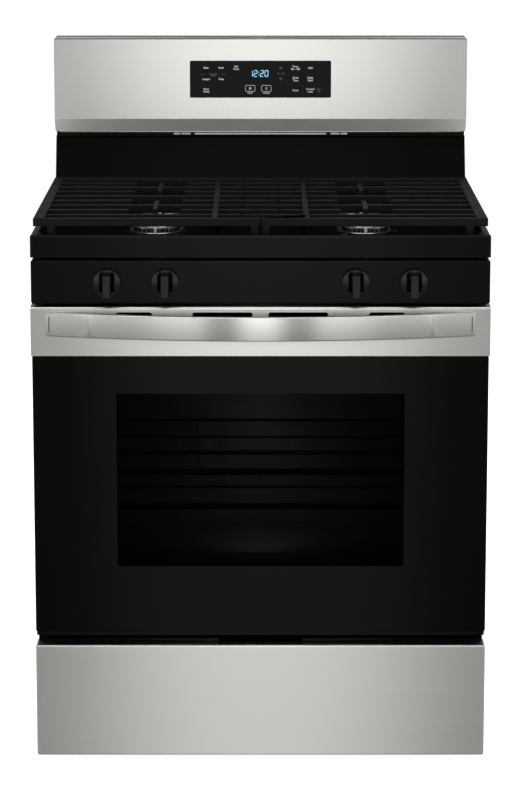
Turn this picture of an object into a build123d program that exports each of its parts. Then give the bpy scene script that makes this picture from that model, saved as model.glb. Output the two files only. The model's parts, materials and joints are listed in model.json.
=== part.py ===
from build123d import *
import os

# Freestanding gas range with a slide-out storage drawer, a drop-down oven door, four surface
# burners under two cast-iron grates and an upright control console at the back.
# Millimetres. +X is to the right of a person facing the range, -Y is the front, +Z is up.
# The origin is on the floor, in the middle of the footprint.

# ---- Overall sizes ----
width = 759.0
body_depth = 660.0
cooktop_height = 914.0
console_rise = 271.0
handle_reach = 50.0

# ---- Sheet and glass ----
sheet = 1.2
enamel_sheet = 1.6
glass = 5.0
seam = 5.0
fit_gap = 0.3

# ---- Front, from the floor up ----
drawer_low = 21.6
drawer_front_height = 194.1
drawer_front_depth = 38.0
drawer_inset = 1.0
drawer_pull_half = 71.0
drawer_floor = 46.0
drawer_wall_height = 104.0
door_gap = 17.7
door_thickness = 41.0
door_edge_inset = 2.0
door_bottom_strip = 7.6
trim_height = 82.0
panel_height = 72.0
panel_setback = 5.0
panel_depth = 44.0
panel_corner = 3.0
panel_end_gap = 1.0
cooktop_skirt = 37.0

# ---- Door window, handle and hinge ----
window_width = 478.0
window_height = 296.0
window_rise = 112.6
handle_half = 354.0
handle_height = 40.0
handle_drop = 8.0
handle_thickness = 8.0
handle_end_step = 4.0
pivot_behind_face = 30.0
pivot_rise = 15.6
hinge_inset = 34.5
hinge_pin_radius = 3.0
running_gap = 0.05
door_chamfer = 5.0
vent_slots = ((13.0, 112.0), (179.0, 238.0))
vent_slot_height = 8.0
vent_slot_drop = 12.7

# ---- Oven cavity ----
frame_face_setback = 48.0
cavity_rise = 51.6
cavity_drop = 83.0
cavity_side_gap = 74.5
cavity_rear_gap = 130.0
burner_box_height = 45.0
insulation = 25.0
rack_first_level = 374.0
rack_pitch = 60.0
rack_levels = 5
rack_upper_level = 2
rack_lower_level = 1
rack_depth = 400.0
rack_front_gap = 25.0
rack_wire = 3.5
rack_thin_wire = 2.2
rack_cross_wire = 2.6
rack_wire_count = 15

# ---- Cooktop, burners and grates ----
rim = 12.5
well_depth = 20.0
well_front = 15.0
well_back = 550.0
well_corner = 28.0
burner_x = 178.0
burner_first = 185.0
burner_spacing = 213.3
burner_neck_radius = 32.0
burner_head_radius = 40.0
burner_head_height = 12.0
cap_radius = 38.0
cap_height = 11.0
electrode_offset = 45.0
electrode_radius = 2.6
grate_top_rise = 24.0
grate_bar_height = 13.5
grate_bar_width = 9.0
grate_side_inset = 3.5
grate_side_rail = 18.0
grate_front = 37.0
grate_back = 508.0
grate_back_rail = 25.0
grate_first_bar = 78.3
grate_pitch = 53.33
grate_rib_x = 76.0
grate_finger_end = 30.0
grate_gap = 2.0
burner_opening = 88.0
cross_finger = 47.0
grate_foot_half = 6.0
grate_foot_inset = 21.0

# ---- Knobs and valves ----
knob_spots = {"left_outer": -252.5, "left_inner": -157.0, "right_inner": 157.0, "right_outer": 252.5}
knob_radius = 22.5
knob_base = 8.5
knob_length = 28.5
knob_standoff = 3.5
knob_push = 3.0
grip_width = 15.0
stem_radius = 4.0
stem_flat = 2.8
valve_size = 30.0
valve_setback = 30.0
valve_length = 43.0
manifold_radius = 12.0
gas_tube_radius = 3.2
supply_radius = 8.0
pipe_wall = 2.6
tube_wall = 1.5

# ---- Backguard and console ----
riser_front = 578.0
riser_top = 612.0
riser_height = 89.0
vent_strip_height = 10.6
vent_end_gap = 1.5
console_front = 576.0
console_bevel_back = 593.0
console_bevel_low = 99.9
console_bevel_high = 124.8
console_glass_width = 259.0
console_glass_height = 67.7
console_glass_drop = 73.2
duct_half = 120.0
duct_sheet = 1.0

# ---- Base ----
base_rise = 26.0
rail_width = 42.0
foot_radius = 16.0
foot_height = 8.0
stud_radius = 5.0
foot_front = 80.0
foot_back = 595.0

# ---- Planes worked out from the sizes above ----
half = width / 2
height = cooktop_height + console_rise
rear_y = (body_depth + handle_reach) / 2
face_y = rear_y - body_depth
back_y = rear_y - 4.0
drawer_high = drawer_low + drawer_front_height
door_low = drawer_high + door_gap
skirt_z = cooktop_height - cooktop_skirt
panel_high = skirt_z - seam
panel_low = panel_high - panel_height
door_high = panel_low - seam
trim_low = door_high - trim_height
panel_y = face_y + panel_setback
frame_y = face_y + frame_face_setback
door_back_y = face_y + door_thickness
door_half = half - door_edge_inset
window_low = door_low + window_rise
window_high = window_low + window_height
window_half = window_width / 2
pivot_y = face_y + pivot_behind_face
pivot_z = door_low + pivot_rise
hinge_x = half - hinge_inset
body_half = half - 2.5
cavity_half = half - cavity_side_gap
cavity_low = door_low + cavity_rise
cavity_high = door_high - cavity_drop
cavity_front = frame_y + enamel_sheet
cavity_back = rear_y - cavity_rear_gap
well_z = cooktop_height - well_depth
burner_rows = (face_y + burner_first, face_y + burner_first + burner_spacing)
knob_z = (panel_low + panel_high) / 2
riser_y = face_y + riser_front
console_y = face_y + console_front
console_low = cooktop_height + console_bevel_low
cooktop_back_y = back_y - 0.2


def span(reach):
    """A range that is even about zero."""
    return (-reach, reach)


def block(x, y, z):
    """A box from its (low, high) ranges."""
    ranges = (x, y, z)
    middle = [(low + high) / 2 for low, high in ranges]
    size = [high - low for low, high in ranges]
    return Pos(*middle) * Box(*size)


def bar_x(x, y, z, radius):
    """A round bar along X over the range x."""
    return Pos((x[0] + x[1]) / 2, y, z) * Rot(0, 90, 0) * Cylinder(radius, x[1] - x[0])


def bar_y(x, y, z, radius):
    """A round bar along Y over the range y."""
    return Pos(x, (y[0] + y[1]) / 2, z) * Rot(90, 0, 0) * Cylinder(radius, y[1] - y[0])


def bar_z(x, y, z, radius):
    """A round bar along Z over the range z."""
    return Pos(x, y, (z[0] + z[1]) / 2) * Cylinder(radius, z[1] - z[0])


def prism(outline, x):
    """A (y, z) outline drawn out along X over the range x."""
    face = Plane.YZ * Polygon(*outline, align=None)
    return Pos(x[0], 0, 0) * extrude(face, amount=x[1] - x[0], dir=(1, 0, 0))


def tube_along(points, bend, radius, bore=0.0):
    """A round bar that follows the points with rounded bends, or a tube where it has a bore."""
    path = FilletPolyline(*points, radius=bend)
    section = Circle(radius) - Circle(bore) if bore else Circle(radius)
    return sweep(Plane(origin=path @ 0, z_dir=path % 0) * section, path=path)


def slot_y(x, y, z):
    """A round-ended slot cutter along X, cut through over the range y."""
    radius = (z[1] - z[0]) / 2
    middle = (z[0] + z[1]) / 2
    cutter = block((x[0] + radius, x[1] - radius), y, z)
    cutter += bar_y(x[0] + radius, y, middle, radius)
    return cutter + bar_y(x[1] - radius, y, middle, radius)


def both_sides(solid):
    """The solid and its mirror image across the middle of the range."""
    return [solid, mirror(solid, about=Plane.YZ)]


def save(name, solids):
    """Write one sub-part, a solid or a list of separate solids."""
    pieces = solids if isinstance(solids, list) else [solids]
    shape = pieces[0] if len(pieces) == 1 else Compound(children=pieces)
    export_step(shape, f"parts/{name}.step")


# ---- Cabinet ----
screw_x = body_half - 8.0
screw_levels = [cooktop_height * share for share in (0.12, 0.33, 0.55, 0.77, 0.94)]
screw_hole = 2.1
flange = 16.0
gland_x = -half + 129.5
gland_z = 92.0
gland_radius = 11.0
cord_radius = 4.2
inlet_x = half - 129.5
inlet_z = 92.0
inlet_radius = 9.3
back_seam_z = cooktop_height - 290.0
inlet_notch_half = 55.0


def screw_holes():
    cutters = [bar_y(screw_x, (back_y - 6, back_y + 6), z, screw_hole) for z in screw_levels]
    return cutters + [mirror(cutter, about=Plane.YZ) for cutter in cutters]


def side_panel():
    """The right-hand side sheet, with flanges turned in at the front and the back."""
    tall = (base_rise - 2, well_z - enamel_sheet - 1)
    deep = (cavity_front, back_y)
    panel = block((body_half - sheet, body_half), deep, tall)
    front_low = door_low + 2.0
    panel += block((body_half - flange, body_half), (deep[0], deep[0] + sheet), (front_low, tall[1]))
    panel += block((body_half - flange, body_half), (back_y - sheet, back_y), tall)
    notch_y = (cooktop_back_y - enamel_sheet - 0.5, back_y + 1)
    panel -= block((body_half - flange - 1, body_half + 1), notch_y, (skirt_z - 0.5, tall[1] + 1))
    for cutter in screw_holes():
        panel -= cutter
    return panel


def back_panel():
    """Three sheets: two plain ones side by side, notched for the gas line, under a louvred one."""
    deep = (back_y, back_y + sheet)
    through = (back_y - 6, back_y + 6)
    edge = body_half - 0.5
    seam_x = inlet_x - inlet_notch_half
    left = block((-edge, seam_x), deep, (60.0, back_seam_z))
    left -= bar_y(gland_x, through, gland_z, gland_radius + 0.1)
    right = block((seam_x, edge), deep, (60.0, back_seam_z))
    right -= block((seam_x - 1, inlet_x + inlet_notch_half), through, (50.0, inlet_z + 60))
    upper = block(span(edge), deep, (back_seam_z, console_low - 0.9))
    for cutter in screw_holes():
        left -= cutter
        right -= cutter
        upper -= cutter
    for column in range(-4, 5):
        for row in range(6):
            slot = (column * 52.0 - 16, column * 52.0 + 16)
            low = cooktop_height - 250 + row * 16.0
            upper -= slot_y(slot, through, (low, low + 5.0))
    return [left, right, upper]


def body_screws():
    screws = []
    for z in screw_levels:
        screw = bar_y(screw_x, (back_y + sheet, rear_y), z, 4.2)
        screw += bar_y(screw_x, (back_y - 5, back_y + sheet), z, screw_hole - 0.1)
        screws += both_sides(screw)
    return screws


def foot_spots():
    reach = body_half - sheet - rail_width / 2
    return [(x, face_y + y) for x in span(reach) for y in (foot_front, foot_back)]


def base_frame():
    """A ring of folded rails with an upstand along its inner edge."""
    deep = (frame_y + 7, back_y - 2)
    outer = body_half - sheet
    inner = outer - rail_width
    inner_deep = (deep[0] + 26, deep[1] - 30)
    ring = block(span(outer), deep, (base_rise, base_rise + 14))
    ring -= block(span(outer - 2), (deep[0] + 2, deep[1] - 2), (base_rise + 2, base_rise + 15))
    rails = block(span(inner + 2), (inner_deep[0] - 2, inner_deep[1] + 2), (base_rise, base_rise + 10))
    ring = ring + rails - block(span(inner), inner_deep, (base_rise - 1, base_rise + 11))
    for x, y in foot_spots():
        ring -= bar_z(x, y, (base_rise - 1, base_rise + 3), stud_radius + 0.1)
    return ring


def leveling_legs():
    legs = []
    for x, y in foot_spots():
        foot = fillet(bar_z(x, y, (0, foot_height), foot_radius).edges(), 1.0)
        nut = Pos(x, y, foot_height) * extrude(RegularPolygon(9.0, 6), 8.0)
        stud = bar_z(x, y, (foot_height, base_rise + 12), stud_radius)
        legs.append(foot + nut + stud)
    return legs


def cord_gland():
    bush = bar_y(gland_x, (back_y - 9, back_y + sheet), gland_z, gland_radius)
    bush += bar_y(gland_x, (back_y + sheet, rear_y - 0.5), gland_z, gland_radius + 3)
    bush += bar_y(gland_x, (back_y - 11, back_y), gland_z, gland_radius + 1.5) - \
        bar_y(gland_x, (back_y - 8, back_y + 1), gland_z, gland_radius + 2)
    return bush - bar_y(gland_x, (back_y - 12, rear_y), gland_z, cord_radius)


# ---- Oven ----
liner_low = cavity_low - burner_box_height
lamp_x = -cavity_half + 85.0
lamp_z = cavity_high - 75.0
flue_y = (cavity_back - 45, cavity_back - 5)
broil_y = (cavity_front + 165, cavity_front + 375)
rack_half = cavity_half - 6.0
rack_front_y = cavity_front + rack_front_gap + rack_wire
ledge_reach = 11.0


def oven_liner():
    """The enamelled walls of the oven: two sides, a ceiling, a back and the burner box floor."""
    deep = (cavity_front, cavity_back)
    tall = (liner_low, cavity_high)
    side = block((cavity_half, cavity_half + sheet), deep, tall)
    ceiling = block(span(cavity_half + sheet), deep, (cavity_high, cavity_high + sheet))
    ceiling -= block(span(duct_half - 10), (flue_y[0] + 5, flue_y[1] - 5), span(cavity_high + 9))
    back = block(span(cavity_half + sheet), (cavity_back, cavity_back + sheet), tall)
    bottom = block(span(cavity_half + sheet), deep, (liner_low - sheet, liner_low))
    return both_sides(side) + [ceiling, back, bottom]


def oven_floor_panel():
    """The lift-out floor over the bake burner, with slots along both sides for the hot air."""
    deep = (cavity_front + 4, cavity_back - 2)
    panel = block(span(cavity_half - 1), deep, (cavity_low - enamel_sheet, cavity_low))
    for row in range(7):
        start = deep[0] + 40 + row * 58.0
        for x in (cavity_half - 22, -cavity_half + 14):
            panel -= block((x, x + 8), (start, start + 36), (cavity_low - 5, cavity_low + 5))
    return panel


def oven_front_frame():
    """The enamelled face around the oven mouth, with a slot for each hinge arm."""
    low = drawer_floor + drawer_wall_height + 10
    panel = block(span(body_half - 1), (frame_y, cavity_front), (low, panel_low - 2))
    mouth = block(span(cavity_half - 0.5), (frame_y - 5, cavity_front + 5), (cavity_low, cavity_high))
    panel -= fillet(mouth.edges().filter_by(Axis.Y), 14)
    for side in (-1, 1):
        middle = side * hinge_x
        slot_z = (pivot_z - 8, pivot_z + 8)
        panel -= block((middle - 4, middle + 4), (frame_y - 5, cavity_front + 5), slot_z)
    return panel


def oven_insulation():
    """Glass-wool slabs over the two sides, the top and the back of the oven."""
    inner = cavity_half + sheet + 0.2
    deep = (cavity_front + 3, cavity_back + sheet + insulation)
    side = block((inner, inner + insulation), deep, (liner_low, cavity_high + insulation))
    top = block(span(inner), (deep[0], cavity_back), (cavity_high + sheet + 0.2, cavity_high + insulation))
    top -= block(span(duct_half + 1), (flue_y[0] - 1, flue_y[1] + 1), span(cavity_high + 2 * insulation))
    back = block(span(inner), (cavity_back + sheet + 0.2, deep[1]), (liner_low, cavity_high))
    return both_sides(side) + [top, back]


def rack_guides():
    """Ledges down both oven walls, one pair for each rack level."""
    ledges = []
    for level in range(rack_levels):
        top = rack_first_level + level * rack_pitch - rack_wire - 0.2
        reach = (cavity_half - ledge_reach, cavity_half)
        ledge = block(reach, (cavity_front + 12, cavity_back - 14), (top - 6, top))
        ledges += both_sides(ledge)
    return ledges


def oven_rack(level):
    """A wire rack: a heavy frame, thin wires front to back and cross wires under them."""
    z = rack_first_level + level * rack_pitch
    front = rack_front_y
    back = front + rack_depth - 2 * rack_wire
    side = rack_half - rack_wire
    corner = 14.0
    ring = [(-side, front, z), (side, front, z), (side, back, z), (-side, back, z)]
    path = FilletPolyline(*ring, radius=corner, close=True)
    section = Plane(origin=path @ 0, z_dir=path % 0) * Circle(rack_wire)
    rack = sweep(section, path=path)
    pitch = 2 * side / (rack_wire_count + 1)
    for column in range(1, rack_wire_count + 1):
        x = -side + column * pitch
        rack += bar_y(x, (front, back), z + rack_wire - rack_thin_wire, rack_thin_wire)
    for row in (0.06, 0.36, 0.67):
        y = front + (back - front) * row
        rack += bar_x(span(side), y, z - rack_wire + rack_cross_wire, rack_cross_wire)
    return rack


def bake_burner():
    """A looped tube burner under the oven floor, fed from the back."""
    z = (liner_low + cavity_low - enamel_sheet) / 2
    front = cavity_front + 60
    back = cavity_back - 50
    loop = [(-110, back, z), (-110, front, z), (110, front, z), (110, back, z)]
    burner = tube_along(loop, 45, 11, 11 - tube_wall)
    crossing = bar_x(span(122), back, z, 13) - bar_x(span(122 - tube_wall), back, z, 13 - tube_wall)
    feed = bar_y(0, (back + 6, cavity_back), z, 13) - bar_y(0, (back, cavity_back + 1), z, 13 - tube_wall)
    return burner + crossing + feed


def broil_burner():
    """A flat gas broiler under the oven ceiling, with its mixing tube to the back wall."""
    tray = block(span(170), broil_y, (cavity_high - 20, cavity_high - 4))
    tray = fillet(tray.edges().filter_by(Axis.Z), 14)
    wall = tube_wall
    deep = (broil_y[0] + wall, broil_y[1] - wall)
    hollow = block(span(170 - wall), deep, (cavity_high - 21, cavity_high - 4 - wall))
    hollow = fillet(hollow.edges().filter_by(Axis.Z), 14 - wall)
    mixer = bar_y(0, (broil_y[1] - wall, cavity_back), cavity_high - 12, 7.5)
    return tray - hollow + mixer - bar_y(0, (broil_y[1] - 9, cavity_back + 1), cavity_high - 12, 7.5 - wall)


def oven_lamp():
    """The glass dome over the lamp at the back of the oven."""
    dome = bar_y(lamp_x, (cavity_back - 24, cavity_back), lamp_z, 28)
    dome = fillet(dome.edges().sort_by(Axis.Y)[0], 10)
    hollow = bar_y(lamp_x, (cavity_back - 20, cavity_back + 1), lamp_z, 24)
    return dome - fillet(hollow.edges().sort_by(Axis.Y)[0], 7)


def oven_vent_duct():
    """The sheet duct from the oven ceiling back and up to the outlet under the console."""
    top = cooktop_height + riser_height - 1.0
    low = cavity_high + sheet + 0.2
    turn = (cavity_high + insulation + 3, cavity_high + insulation + 28)
    rise = (back_y - 41, back_y - 6)
    outline = [(flue_y[0], low), (flue_y[1], low), (flue_y[1], turn[0]), (rise[1], turn[0])]
    outline += [(rise[1], top), (rise[0], top), (rise[0], turn[1]), (flue_y[0], turn[1])]
    t = duct_sheet
    inside = [(flue_y[0] + t, low - 1), (flue_y[1] - t, low - 1), (flue_y[1] - t, turn[0] + t)]
    inside += [(rise[1] - t, turn[0] + t), (rise[1] - t, top + 1), (rise[0] + t, top + 1)]
    inside += [(rise[0] + t, turn[1] - t), (flue_y[0] + t, turn[1] - t)]
    return prism(outline, span(duct_half)) - prism(inside, span(duct_half - t))


# ---- Door ----
glass_y = (face_y, face_y + glass)
frame_front_y = face_y + glass + fit_gap
door_frame_half = door_half - 1.5
sleeve = 11.0
plug_margin = 12.0
plug_reach = 8.0
gasket_width = 12.0
gasket_overlap = 2.0


def rounded_plate(x, y, z, corner):
    """An upright plate with rounded corners."""
    return fillet(block(x, y, z).edges().filter_by(Axis.Y), corner)


def door_outer_glass():
    pane = rounded_plate(span(door_half), glass_y, (door_low + door_bottom_strip, trim_low - fit_gap), 3)
    front = pane.faces().sort_by(Axis.Y)[0]
    return chamfer(front.edges(), 0.8)


def door_window_panes():
    """The two inner panes, one held in the door's window sleeve and one behind the liner."""
    width_range = span(window_half + sleeve - 1.7)
    tall = (window_low - sleeve + 1.7, window_high + sleeve - 1.7)
    middle = rounded_plate(width_range, (face_y + 22, face_y + 26), tall, 3)
    inner = rounded_plate(width_range, (frame_y + 2.3, frame_y + 6.3), tall, 3)
    return [middle, inner]


def door_top_trim():
    """The stainless cap over the top of the door, with cooling slots above the handle."""
    deep = (face_y, door_back_y + 0.5)
    outer = block(span(half), deep, (trim_low, door_high))
    long_edges = outer.edges().filter_by(Axis.X).sort_by(Axis.Y)[:2].sort_by(Axis.Z)
    outer = fillet(long_edges[-1], 3.5)
    inside = block(span(half - sheet), (face_y + sheet, door_back_y + 2), (trim_low - 1, door_high - sheet))
    trim = outer - inside
    slot_low = door_high - vent_slot_drop - vent_slot_height / 2
    z = (slot_low, slot_low + vent_slot_height)
    for low, high in vent_slots:
        trim -= slot_y((low, high), (face_y - 2, face_y + 4), z)
        trim -= slot_y((-high, -low), (face_y - 2, face_y + 4), z)
    return trim


def door_handle():
    """A bowed strip that springs off the trim at both ends."""
    rise = handle_reach - handle_end_step
    outer_radius = (handle_half ** 2 + rise ** 2) / (2 * rise)
    centre = face_y - handle_reach + outer_radius
    ring = Pos(0, centre) * (Circle(outer_radius) - Circle(outer_radius - handle_thickness))
    clip = Pos(0, face_y - handle_reach / 2) * Rectangle(2 * handle_half, handle_reach)
    high = door_high - handle_drop
    bar = Pos(0, 0, high - handle_height) * extrude(ring & clip, amount=handle_height, dir=(0, 0, 1))
    arcs = bar.edges().filter_by(GeomType.CIRCLE).sort_by(SortBy.LENGTH)
    return fillet(arcs[-2:], 2.5)


def door_frame():
    """The steel pan that carries the glass, with a sleeve around the window."""
    low = door_low
    high = door_high - sheet - 1.0
    cut = door_chamfer
    back = door_back_y
    outline = [(frame_front_y, low), (back - cut, low), (back, low + cut), (back, high)]
    outline += [(frame_front_y, high)]
    t = sheet
    inside = [(frame_front_y - 1, low + t), (back - cut - 0.4 * t, low + t)]
    inside += [(back - t, low + cut + 0.4 * t), (back - t, high - t), (frame_front_y - 1, high - t)]
    pan = prism(outline, span(door_frame_half)) - prism(inside, span(door_frame_half - t))
    wide = window_half + sleeve
    tall = (window_low - sleeve, window_high + sleeve)
    around = block(span(wide), (frame_front_y, back), tall)
    around -= block(span(wide - t), (frame_front_y - 1, back + 1), (tall[0] + t, tall[1] - t))
    pan -= block(span(wide - t), (back - 3, back + 1), (tall[0] + t, tall[1] - t))
    pan += around
    lip = block(span(door_frame_half), (face_y + 1.5, frame_front_y), (low, low + door_bottom_strip - 1))
    pan += lip
    for side in (-1, 1):
        middle = side * hinge_x
        pan -= block((middle - 3.5, middle + 3.5), (pivot_y - 11, back + 2), (low - 1, pivot_z + 10))
    return pan


def door_inner_panel():
    """The enamelled liner with a raised plug that enters the oven mouth."""
    plate_low = pivot_z + 14
    plate_y = (door_back_y, door_back_y + sheet)
    plug_y = (door_back_y, frame_y + plug_reach)
    plug_half = cavity_half - plug_margin
    plug_z = (cavity_low + plug_margin, cavity_high - plug_margin)
    plate = rounded_plate(span(door_frame_half - 3), plate_y, (plate_low, door_high - 6), 8)
    plug = block(span(plug_half), plug_y, plug_z)
    plug = fillet(plug.edges().filter_by(Axis.Y), 16)
    plug = fillet(plug.faces().sort_by(Axis.Y)[-1].edges(), 3)
    hollow = block(span(plug_half - sheet), (door_back_y - 1, plug_y[1] - sheet),
                   (plug_z[0] + sheet, plug_z[1] - sheet))
    hollow = fillet(hollow.edges().filter_by(Axis.Y), 15)
    deep = (door_back_y - 1, plug_y[1] + 1)
    window = rounded_plate(span(window_half), deep, (window_low, window_high), 10)
    return plate + plug - hollow - window


def door_gasket():
    """The heat seal around the plug, just short of the oven's face when shut."""
    inner_half = cavity_half - gasket_overlap
    low = cavity_low + gasket_overlap
    high = cavity_high - gasket_overlap
    deep = (door_back_y + sheet, frame_y - 0.2)
    w = gasket_width
    ring = rounded_plate(span(inner_half + w), deep, (low - w, high + w), 30)
    ring -= rounded_plate(span(inner_half), (deep[0] - 1, deep[1] + 1), (low, high), 18)
    rim_edges = ring.faces().sort_by(Axis.Y)[-1].edges()
    return fillet(rim_edges, 1.8)


# ---- Door hinges: cases and pins in the door, arms and receivers in the body ----
arm_half = 2.0


def hinge_cases():
    """A folded case and its pivot pin, at each side of the door."""
    cheek = (face_y + 8, door_back_y - 3)
    tall = (pivot_z - 10, pivot_z + 80)
    case = block((hinge_x - 8, hinge_x + 8), cheek, tall)
    case -= block((hinge_x - 6.5, hinge_x + 6.5), (cheek[0] + 1.5, cheek[1] + 1), (tall[0] - 1, tall[1] + 1))
    case += bar_x((hinge_x - 7, hinge_x + 7), pivot_y, pivot_z, hinge_pin_radius)
    return both_sides(case)


def hinge_arms():
    """The flat arm that hooks into the body and carries the door's pivot pin."""
    along = (pivot_y, cavity_front + 32)
    arm = block((hinge_x - arm_half, hinge_x + arm_half), along, (pivot_z - 6, pivot_z + 6))
    arm += bar_x((hinge_x - arm_half, hinge_x + arm_half), pivot_y, pivot_z, 7)
    hole = bar_x((hinge_x - 9, hinge_x + 9), pivot_y, pivot_z, hinge_pin_radius + running_gap)
    return both_sides(arm - hole)


def hinge_receivers():
    """The steel sockets that the hinge arms hook into."""
    deep = (cavity_front, cavity_front + 40)
    socket = block((hinge_x - 6, hinge_x + 6), deep, (pivot_z - 12, pivot_z + 14))
    inner = (hinge_x - arm_half - 0.5, hinge_x + arm_half + 0.5)
    socket -= block(inner, (deep[0] - 1, deep[1] - 4), (pivot_z - 7, pivot_z + 7))
    return both_sides(socket)


# ---- Storage drawer ----
drawer_half = half - 61.5
drawer_length = 480.0
runner_z = 109.0
runner_half_height = 8.0
runner_depth = 15.0
rail_gap = 2.0
drawer_back_of_front = face_y + drawer_front_depth


def drawer_front():
    """The stainless face, folded back on all four sides and notched on top for the fingers."""
    outer_half = half - drawer_inset
    deep = (face_y, drawer_back_of_front)
    tall = (drawer_low, drawer_high)
    outer = fillet(block(span(outer_half), deep, tall).edges().filter_by(Axis.Y), 4)
    outer = fillet(outer.faces().sort_by(Axis.Y)[0].edges(), 3)
    inside = (tall[0] + sheet, tall[1] - sheet)
    hollow = block(span(outer_half - sheet), (face_y + sheet, deep[1] + 1), inside)
    notch = block(span(drawer_pull_half), (face_y + 5, deep[1] + 1), (drawer_high - 6, drawer_high + 1))
    return outer - fillet(hollow.edges().filter_by(Axis.Y), 3) - notch


def drawer_box():
    """The drawer's inner front, floor, sides, back and runners."""
    start = drawer_back_of_front
    end = start + drawer_length
    front_z = (drawer_low + 8, drawer_high - 7)
    inner_front = block(span(half - drawer_inset - 4), (start, start + sheet), front_z)
    deep = (start + sheet, end)
    floor = block(span(drawer_half), deep, (drawer_floor, drawer_floor + sheet))
    wall_z = (drawer_floor + sheet, drawer_floor + drawer_wall_height)
    side = block((drawer_half - sheet, drawer_half), deep, wall_z)
    back = block(span(drawer_half - sheet), (end - sheet, end), wall_z)
    runner_z_range = (runner_z - runner_half_height, runner_z + runner_half_height)
    runner = block((drawer_half, drawer_half + runner_depth), (start + 25, end), runner_z_range)
    return [inner_front, floor, back] + both_sides(side) + both_sides(runner)


def drawer_rails():
    """A channel at each side that the drawer's runners slide in."""
    outer = drawer_half + runner_depth + rail_gap + sheet
    inner = drawer_half + 4
    reach = runner_half_height + rail_gap + sheet
    deep = (frame_y + 12, back_y - 60)
    rail = block((inner, outer), deep, (runner_z - reach, runner_z + reach))
    rail -= block((inner - 1, outer - sheet), (deep[0] - 1, deep[1] + 1),
                  (runner_z - reach + sheet, runner_z + reach - sheet))
    bracket_y = (back_y - 120, back_y - 90)
    rail += block((outer, body_half - sheet), bracket_y, (runner_z - 4, runner_z + 4))
    rail += block((outer, body_half - sheet), (deep[0] + 10, deep[0] + 40), (runner_z - 4, runner_z + 4))
    return both_sides(rail)


# ---- Cooktop, burners and grates ----
well_y = (face_y + well_front + panel_setback, face_y + well_back + panel_setback)
duct_hole_y = (back_y - 43, back_y - 4)


def burner_spots():
    return [(x, y) for x in span(burner_x) for y in burner_rows]


def cooktop():
    """The enamelled top: a skirted sheet with a sunken well under the grates."""
    t = enamel_sheet
    deep = (panel_y, cooktop_back_y)
    outer = block(span(half), deep, (skirt_z, cooktop_height))
    corners = outer.edges().filter_by(Axis.Z).sort_by(Axis.Y)[:2]
    outer = fillet(corners, 6)
    outer = fillet(outer.faces().sort_by(Axis.Z)[-1].edges(), 3.5)
    well = block(span(half - rim), well_y, (well_z, cooktop_height + 1))
    well = fillet(well.edges().filter_by(Axis.Z), well_corner)
    shell = block(span(half - rim + t), (well_y[0] - t, well_y[1] + t), (well_z - t, cooktop_height + 1))
    shell = fillet(shell.edges().filter_by(Axis.Z), well_corner + t)
    under = block(span(half - t), (deep[0] + t, deep[1] - t), (skirt_z - 1, cooktop_height - t))
    top = outer - (under - shell) - well
    for x, y in burner_spots():
        top -= bar_z(x, y, (well_z - 9, well_z + 9), burner_neck_radius + 1)
        top -= bar_z(x, y - electrode_offset, (well_z - 9, well_z + 9), electrode_radius + 0.4)
    return top - block(span(duct_half + 3), duct_hole_y, (well_z, cooktop_height + 5))


def burner_bases():
    """Cast burner bodies: a mixing cup through the top and a ported head above it."""
    bases = []
    head_z = (well_z, well_z + burner_head_height)
    for x, y in burner_spots():
        base = bar_z(x, y, (well_z - 26, well_z), burner_neck_radius)
        head = bar_z(x, y, head_z, burner_head_radius)
        head = chamfer(head.edges().sort_by(Axis.Z)[-1], 2)
        throat = bar_z(x, y, (well_z - 20, head_z[1] + 1), 22)
        bases.append(base + head - throat)
    return bases


def burner_cap(x, y):
    """A loose enamelled cap with a ring under it that centres it in the burner's throat."""
    low = well_z + burner_head_height
    cap = bar_z(x, y, (low, low + cap_height), cap_radius)
    cap = fillet(cap.edges().sort_by(Axis.Z)[-1], 4)
    cap -= bar_z(x, y, (low - 1, low + 4), 17)
    ring = bar_z(x, y, (low - 5, low + 4), 20) - bar_z(x, y, (low - 6, low + 5), 17)
    return cap + ring


def spark_electrodes():
    rods = []
    for x, y in burner_spots():
        rod_y = y - electrode_offset
        rod = bar_z(x, rod_y, (well_z - 24, well_z + 11), electrode_radius)
        rods.append(rod + bar_z(x, rod_y, (well_z + 11, well_z + 15), 0.9))
    return rods


def grate_bars(side):
    """The left (-1) or right (1) grate's bars: rails, bars that run across, a rib and fingers.
    Every second bar crosses the middle, so the two halves interleave."""
    top = cooktop_height + grate_top_rise
    tall = (top - grate_bar_height, top)
    w = grate_bar_width / 2
    outer = half - grate_side_inset
    inner_rail = grate_gap / 2
    front = face_y + grate_front
    back = face_y + grate_back

    def across(low, high, y, reach=w):
        ends = sorted((side * low, side * high))
        return block(tuple(ends), (y - reach, y + reach), tall)

    rail = (side * (outer - grate_side_rail), side * outer)
    grate = block(tuple(sorted(rail)), (front - w, back + grate_back_rail / 2), tall)
    grate += across(inner_rail, outer, front)
    rear_start = -grate_finger_end if side > 0 else grate_finger_end + grate_gap
    grate += across(rear_start, outer, back, grate_back_rail / 2)
    rib = tuple(sorted((side * (grate_rib_x - w), side * (grate_rib_x + w))))
    grate += block(rib, (front, back), tall)
    for bar in range(8):
        y = face_y + grate_first_bar + bar * grate_pitch
        crosses = (bar % 2 == 0) == (side > 0)
        start = -grate_finger_end if crosses else grate_finger_end + grate_gap
        if bar % 2 == 1:
            grate += across(start, burner_x - burner_opening / 2, y)
            grate += across(burner_x + burner_opening / 2, outer, y)
        else:
            grate += across(start, outer, y)
    for y in burner_rows:
        finger = tuple(sorted((side * (burner_x - w), side * (burner_x + w))))
        grate += block(finger, (y - cross_finger, y + cross_finger), tall)
    return grate


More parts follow.
